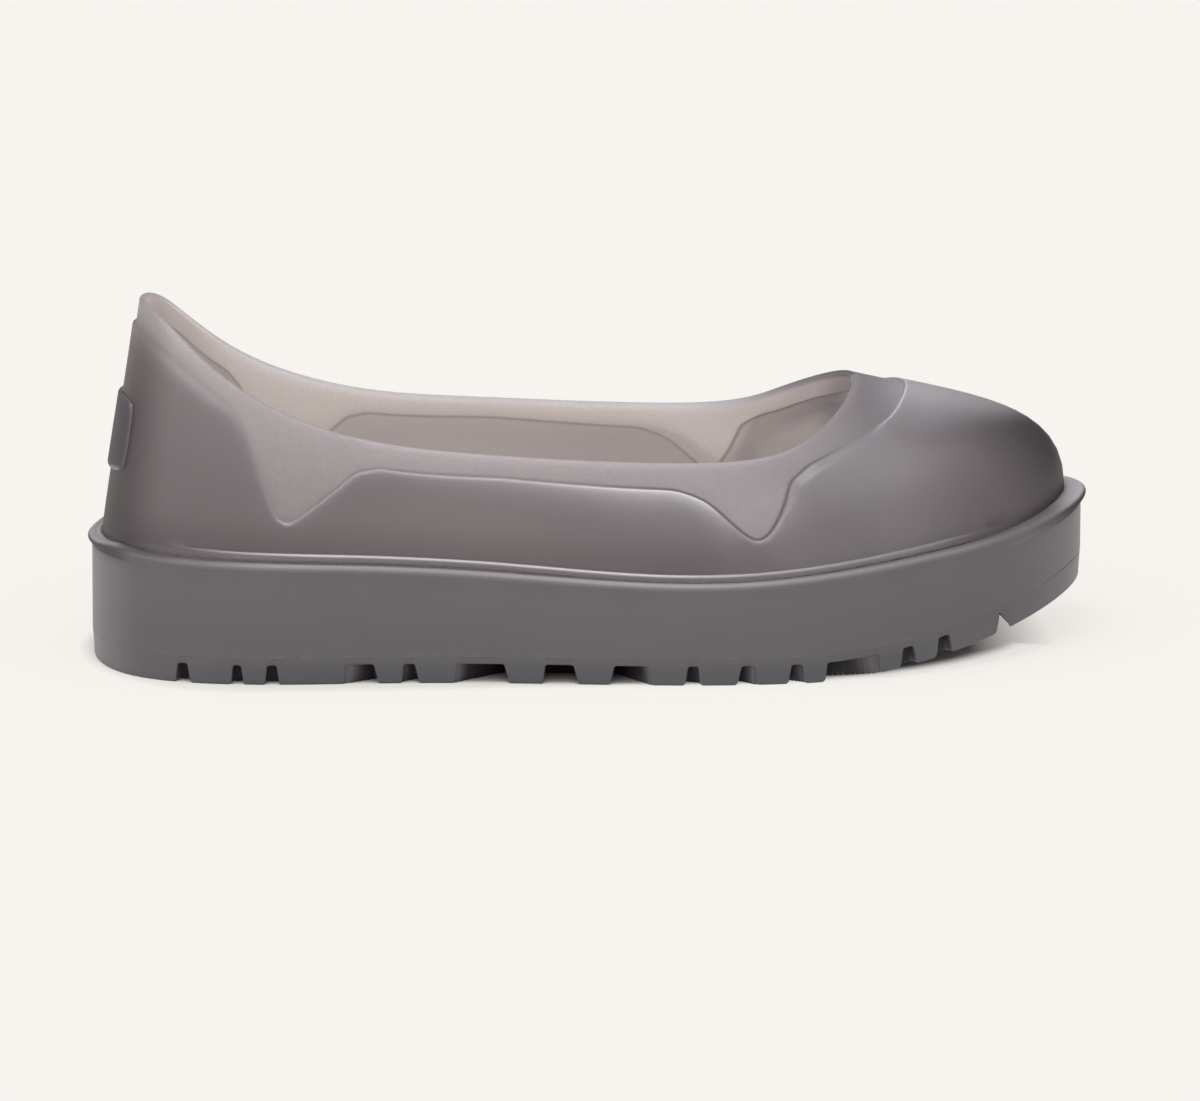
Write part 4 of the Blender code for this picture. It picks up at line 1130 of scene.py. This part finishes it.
shell_traits = {
    "panel": panel_share,
    "lit": np.where(outside, outer_lit, 0.0),
    "line": np.where(outside, outer_shade_line, inner_shade_line),
    "shade": np.where(outside & ~far_collar, outer_shade, inner_shade),
    "inner": np.where(outside, 0.0, INNER_WARMTH),
}
upper = make_piece("upper_shell", [Sheet(shell, True, shell_traits)], UPPER_SHARP)

# See-through moulded rubber: the band's mould is blasted, so it is frosted and scatters light, and the
# panel's is smooth. Light goes through both and picks up a warm smoke tint. Each colour lies over the ones
# before it, by its own share; the shade, lit and line traits lay painted shade, painted light and painted
# dark lines over the rubber's colour, and less light goes through where light is painted. Real frosting is
# finer than this grain, which is drawn coarse enough to show.
FROST_GRAIN = 0.9
clear_rubber = bpy.data.materials.new("translucent_smoky_rubber")
clear_rubber.use_nodes = True
tree = clear_rubber.node_tree
shader = tree.nodes["Principled BSDF"]
output = tree.nodes["Material Output"]
place = add_node(tree, "ShaderNodeTexCoord", {})
trait = {
    name: add_node(tree, "ShaderNodeAttribute", {}, attribute_name=name).outputs["Fac"]
    for name in ("panel", "lit", "line", "shade", "inner")
}
grain = add_node(
    tree,
    "ShaderNodeTexNoise",
    {"Vector": place.outputs["Object"], "Scale": 1 / (FROST_GRAIN * MM), "Detail": 2.0, "Roughness": 0.7},
)
speckle = add_node(
    tree,
    "ShaderNodeMapRange",
    {"Value": grain.outputs["Fac"], "From Min": 0.38, "From Max": 0.64},
)
skin_colour = hex_colour("#9e999f")
for share, code in (
    (speckle.outputs["Result"], "#c3bdc3"),
    (trait["panel"], "#534d56"),
    (trait["shade"], "#433d44"),
    (trait["lit"], "#c4c0c5"),
    (trait["line"], "#4a4346"),
):
    layer = add_node(tree, "ShaderNodeMix", {0: share, 6: skin_colour, 7: hex_colour(code)}, data_type="RGBA")
    skin_colour = layer.outputs[2]
smoke_tint = hex_colour("#fbf8f8")
for share, code in (
    (trait["panel"], "#ebe6e9"),
    (trait["inner"], "#fff1e6"),
    (trait["shade"], "#6a6264"),
    (trait["line"], "#8a7d78"),
):
    layer = add_node(tree, "ShaderNodeMix", {0: share, 6: smoke_tint, 7: hex_colour(code)}, data_type="RGBA")
    smoke_tint = layer.outputs[2]
dull = add_node(tree, "ShaderNodeMapRange", {"Value": trait["panel"], "To Min": 0.62, "To Max": 0.4})
frost_depth = add_node(tree, "ShaderNodeMapRange", {"Value": trait["panel"], "To Min": 0.35, "To Max": 0.05})
relief = add_node(
    tree,
    "ShaderNodeBump",
    {"Height": grain.outputs["Fac"], "Strength": frost_depth.outputs["Result"], "Distance": 0.15 * MM},
)
see_through = add_node(tree, "ShaderNodeMapRange", {"Value": trait["panel"], "To Min": 0.77, "To Max": 0.69})
lit_share = add_node(tree, "ShaderNodeMapRange", {"Value": trait["lit"], "To Min": 1.0, "To Max": 0.5})
share_left = add_node(
    tree,
    "ShaderNodeMath",
    {0: see_through.outputs["Result"], 1: lit_share.outputs["Result"]},
    operation="MULTIPLY",
)
light_through = add_node(
    tree,
    "ShaderNodeBsdfTranslucent",
    {"Color": smoke_tint, "Normal": relief.outputs["Normal"]},
)
mixed = add_node(
    tree,
    "ShaderNodeMixShader",
    {0: share_left.outputs["Value"], 1: shader.outputs["BSDF"], 2: light_through.outputs["BSDF"]},
)
tree.links.new(skin_colour, shader.inputs["Base Color"])
tree.links.new(dull.outputs["Result"], shader.inputs["Roughness"])
tree.links.new(relief.outputs["Normal"], shader.inputs["Normal"])
tree.links.new(mixed.outputs["Shader"], output.inputs["Surface"])
shader.inputs["IOR"].default_value = 1.5
shader.inputs["Specular IOR Level"].default_value = 1.0
shader.inputs["Coat Weight"].default_value = 0.6
shader.inputs["Coat Roughness"].default_value = 0.3
upper.data.materials.append(clear_rubber)
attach(upper, "root")
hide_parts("upper")

# A bare raised plate on the back of the heel, of the panel's see-through rubber and moulded on it. Its
# corners are soft. A painted highlight lies on the lower side of its rounded edge, and painted shade darkens
# it like the wall at the heel.
PLATE_HALF_WIDTH = 21.0
PLATE_LOW = 20.0
PLATE_HIGH = 42.0
PLATE_RISE = 1.2
PLATE_ROUND = 0.9
PLATE_CORNER = 1.5
PLATE_STEPS = 25
PLATE_WALL_ROWS = 5
PLATE_SHARP = 50.0
PLATE_SHADE = 0.45
PLATE_EDGE_LIGHT = 0.6

plate_u = np.linspace(-1.0, 1.0, PLATE_STEPS)
plate_grid_u, plate_grid_v = np.meshgrid(plate_u, plate_u, indexing="ij")
plate_middle = (PLATE_HIGH + PLATE_LOW) / 2
plate_half = (PLATE_HIGH - PLATE_LOW) / 2
plate_side = plate_grid_u * (PLATE_HALF_WIDTH - PLATE_CORNER * plate_grid_v**4)
plate_up = plate_middle + plate_grid_v * (plate_half - PLATE_CORNER * plate_grid_u**4)


def plate_face(offset, shrink):
    """The plate's grid of points, drawn in from its edge and laid that far off the band's face."""
    keys = (plate_side * (1 - shrink / PLATE_HALF_WIDTH)) % AROUND
    lengths = plate_middle + (plate_up - plate_middle) * (1 - shrink / plate_half)
    points = off_wall(keys.ravel(), lengths.reshape(-1, 1), np.full((keys.size, 1), offset))
    return points.reshape(PLATE_STEPS, PLATE_STEPS, 3)


plate_front = plate_face(PANEL_RISE + PLATE_RISE, PLATE_ROUND)
plate_back = plate_face(PANEL_RISE + SEAM, 0.0)


def border(grid):
    """The points round the edge of a grid, in order."""
    return np.concatenate([grid[:-1, 0], grid[-1, :-1], grid[:0:-1, -1], grid[0, :0:-1]])


plate_wall = []
low, high = border(plate_back), border(plate_front)
outward = border(plate_face(PANEL_RISE + PLATE_RISE, 0.0)) - low
for turn in np.linspace(0.0, math.pi / 2, PLATE_WALL_ROWS):
    plate_wall.append(low + outward * math.sin(turn) + (high - low - outward) * (1 - math.cos(turn)))
plate_keys = plate_side.ravel() % AROUND
plate_top = wall_lengths(plate_keys)[:, -1:]
plate_shade = PLATE_SHADE * end_shade(plate_keys, plate_up.reshape(-1, 1), plate_top)
plate_shade = plate_shade.reshape(plate_side.shape)
edge_shade = border(plate_shade)[:, None]
lower_edge_light = np.where(np.arange(len(edge_shade)) < PLATE_STEPS - 1, PLATE_EDGE_LIGHT, 0.0)[:, None]
heel_plate = make_piece(
    "heel_badge_plate",
    [
        Sheet(plate_front, False, {"panel": 1.0, "shade": plate_shade}),
        Sheet(plate_back, False, {"panel": 1.0, "shade": plate_shade}),
        Sheet(np.stack(plate_wall, axis=1), True, {"panel": 1.0, "shade": edge_shade, "lit": lower_edge_light}),
    ],
    PLATE_SHARP,
)
heel_plate.data.materials.append(clear_rubber)
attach(heel_plate, "root")
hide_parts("heel_plate")

# Studio
# A plain pale floor that fills the view, in an even bright surround. Two soft lights stand over it: a broad
# one towards the front, and a narrower strip.
FLOOR_SIZE = 16.0
floor_mesh = bpy.data.meshes.new("studio_floor")
half = FLOOR_SIZE / 2
floor_corners = [(-half, -half, 0), (half, -half, 0), (half, half, 0), (-half, half, 0)]
floor_mesh.from_pydata(floor_corners, [], [(0, 1, 2, 3)])
floor = bpy.data.objects.new("studio_floor", floor_mesh)
bpy.context.scene.collection.objects.link(floor)

# Matt paper that glows as if on a light table, a painted light that fills the shoe's shadow on it. A patch
# under the shoe that follows its print does not glow, and leaves a painted shadow there. The print's places
# are metres in the frame.
PAINTED_FLOOR_GLOW = 0.8
PRINT_MIDDLE = 0.003
PRINT_HALF_WIDTH = 0.053
PRINT_FRONT = (0.03, 0.1225)
PRINT_TOE = (0.109, 0.1355)
PRINT_TOE_MIDDLE = 0.004
PRINT_TOE_SIDES = (0.009, 0.02)
PRINT_BACK = (-0.1, -0.146)
PRINT_SOFTNESS = (0.96, 1.09)
paper = bpy.data.materials.new("matt_paper")
paper.use_nodes = True
tree = paper.node_tree
shader = tree.nodes["Principled BSDF"]
place = add_node(tree, "ShaderNodeTexCoord", {})
axes = add_node(tree, "ShaderNodeSeparateXYZ", {"Vector": place.outputs["Object"]})
parts = {}
for axis, source, (start, end) in (
    ("X", "X", PRINT_FRONT),
    ("Y", "Y", (PRINT_MIDDLE, PRINT_MIDDLE + PRINT_HALF_WIDTH)),
    ("Z", "X", PRINT_BACK),
):
    part = add_node(
        tree,
        "ShaderNodeMapRange",
        {"Value": axes.outputs[source], "From Min": start, "From Max": end},
        clamp=False,
    )
    if axis != "Y":
        part = add_node(tree, "ShaderNodeMath", {0: part.outputs["Result"], 1: 0.0}, operation="MAXIMUM")
    parts[axis] = part.outputs[0]
away = add_node(tree, "ShaderNodeCombineXYZ", parts)
distance = add_node(tree, "ShaderNodeVectorMath", {0: away.outputs["Vector"]}, operation="LENGTH")
outside_print = add_node(
    tree,
    "ShaderNodeMapRange",
    {"Value": distance.outputs["Value"], "From Min": PRINT_SOFTNESS[0], "From Max": PRINT_SOFTNESS[1]},
    interpolation_type="SMOOTHSTEP",
)
under_toe = add_node(
    tree,
    "ShaderNodeMapRange",
    {"Value": axes.outputs["X"], "From Min": PRINT_TOE[0], "From Max": PRINT_TOE[1]},
)
from_middle = add_node(
    tree,
    "ShaderNodeMath",
    {0: axes.outputs["Y"], 1: PRINT_TOE_MIDDLE},
    operation="SUBTRACT",
)
sideways = add_node(tree, "ShaderNodeMath", {0: from_middle.outputs["Value"]}, operation="ABSOLUTE")
behind = add_node(tree, "ShaderNodeMath", {0: axes.outputs["X"], 1: -1.0}, operation="MULTIPLY")
to_side = add_node(
    tree,
    "ShaderNodeMath",
    {0: sideways.outputs["Value"], 1: behind.outputs["Value"]},
    operation="MAXIMUM",
)
beside_toe = add_node(
    tree,
    "ShaderNodeMapRange",
    {"Value": to_side.outputs["Value"], "From Min": PRINT_TOE_SIDES[0], "From Max": PRINT_TOE_SIDES[1]},
    interpolation_type="SMOOTHSTEP",
)
round_print = add_node(
    tree,
    "ShaderNodeMath",
    {0: outside_print.outputs["Result"], 1: beside_toe.outputs["Result"]},
    operation="MINIMUM",
)
glow_part = add_node(
    tree,
    "ShaderNodeMath",
    {0: round_print.outputs["Value"], 1: under_toe.outputs["Result"]},
    operation="MAXIMUM",
)
glow_share = add_node(
    tree,
    "ShaderNodeMath",
    {0: glow_part.outputs["Value"], 1: PAINTED_FLOOR_GLOW},
    operation="MULTIPLY",
)
painted_floor_glow = add_node(tree, "ShaderNodeEmission", {"Color": hex_colour("#f7f4ef"), "Strength": 1.0})
mixed = add_node(
    tree,
    "ShaderNodeMixShader",
    {0: glow_share.outputs["Value"], 1: shader.outputs["BSDF"], 2: painted_floor_glow.outputs["Emission"]},
)
tree.links.new(mixed.outputs["Shader"], tree.nodes["Material Output"].inputs["Surface"])
shader.inputs["Base Color"].default_value = hex_colour("#ccc9c5")
shader.inputs["Roughness"].default_value = 0.9
shader.inputs["Specular IOR Level"].default_value = 0.0
floor_mesh.materials.append(paper)

surround = bpy.data.worlds.new("studio_surround")
surround.use_nodes = True
surround.node_tree.nodes["Background"].inputs["Color"].default_value = (1.0, 1.0, 1.0, 1.0)
surround.node_tree.nodes["Background"].inputs["Strength"].default_value = 0.4
bpy.context.scene.world = surround

# direction: towards the light. spread: how wide it looks from the shoe, in degrees.
Lamp = namedtuple("Lamp", "name direction energy spread")
LAMPS = (
    Lamp("front_softbox", (-0.12, -0.38, 0.92), 2.75, 95.0),
    Lamp("overhead_strip", (-0.12, -0.28, 0.95), 1.2, 22.0),
)
for lamp in LAMPS:
    light = bpy.data.lights.new(lamp.name, "SUN")
    light.energy = lamp.energy
    light.angle = math.radians(lamp.spread)
    holder = bpy.data.objects.new(lamp.name, light)
    holder.rotation_mode = "QUATERNION"
    holder.rotation_quaternion = Vector(lamp.direction).to_track_quat("Z", "Y")
    bpy.context.scene.collection.objects.link(holder)

# Camera
# A long lens at the photograph's angle: nearly square to the outer side, a little from the heel and above.
# It is turned so that one point on the shoe falls on its own pixel.
PHOTO_WIDTH = 1200
PHOTO_HEIGHT = 1101
VIEW_AZIMUTH = -4.5
VIEW_ELEVATION = 13.0
VIEW_DISTANCE = 2000.0
VIEW_POINT = (145.0, 0.0, 45.0)
VIEW_POINT_PIXEL = (587.5, 491.3)
PIXELS_PER_MM = 3.44

azimuth = math.radians(VIEW_AZIMUTH)
elevation = math.radians(VIEW_ELEVATION)
level = math.cos(elevation)
back = Vector((math.sin(azimuth) * level, -math.cos(azimuth) * level, math.sin(elevation)))
right = Vector((math.cos(azimuth), math.sin(azimuth), 0.0))
focal_pixels = PIXELS_PER_MM * VIEW_DISTANCE
aim = -back
aim += right * (PHOTO_WIDTH / 2 - VIEW_POINT_PIXEL[0]) / focal_pixels
aim -= back.cross(right) * (PHOTO_HEIGHT / 2 - VIEW_POINT_PIXEL[1]) / focal_pixels
lens = bpy.data.cameras.new("photo_camera")
lens.sensor_width = 36.0
lens.lens = focal_pixels / PHOTO_WIDTH * lens.sensor_width
lens.clip_end = 100.0
camera = bpy.data.objects.new("photo_camera", lens)
camera.location = Vector(np.array(VIEW_POINT) * MM + heel_frame) + back * VIEW_DISTANCE * MM
camera.rotation_mode = "QUATERNION"
camera.rotation_quaternion = aim.to_track_quat("-Z", "Y")
bpy.context.scene.collection.objects.link(camera)
bpy.context.scene.camera = camera
bpy.context.scene.view_settings.view_transform = "Standard"
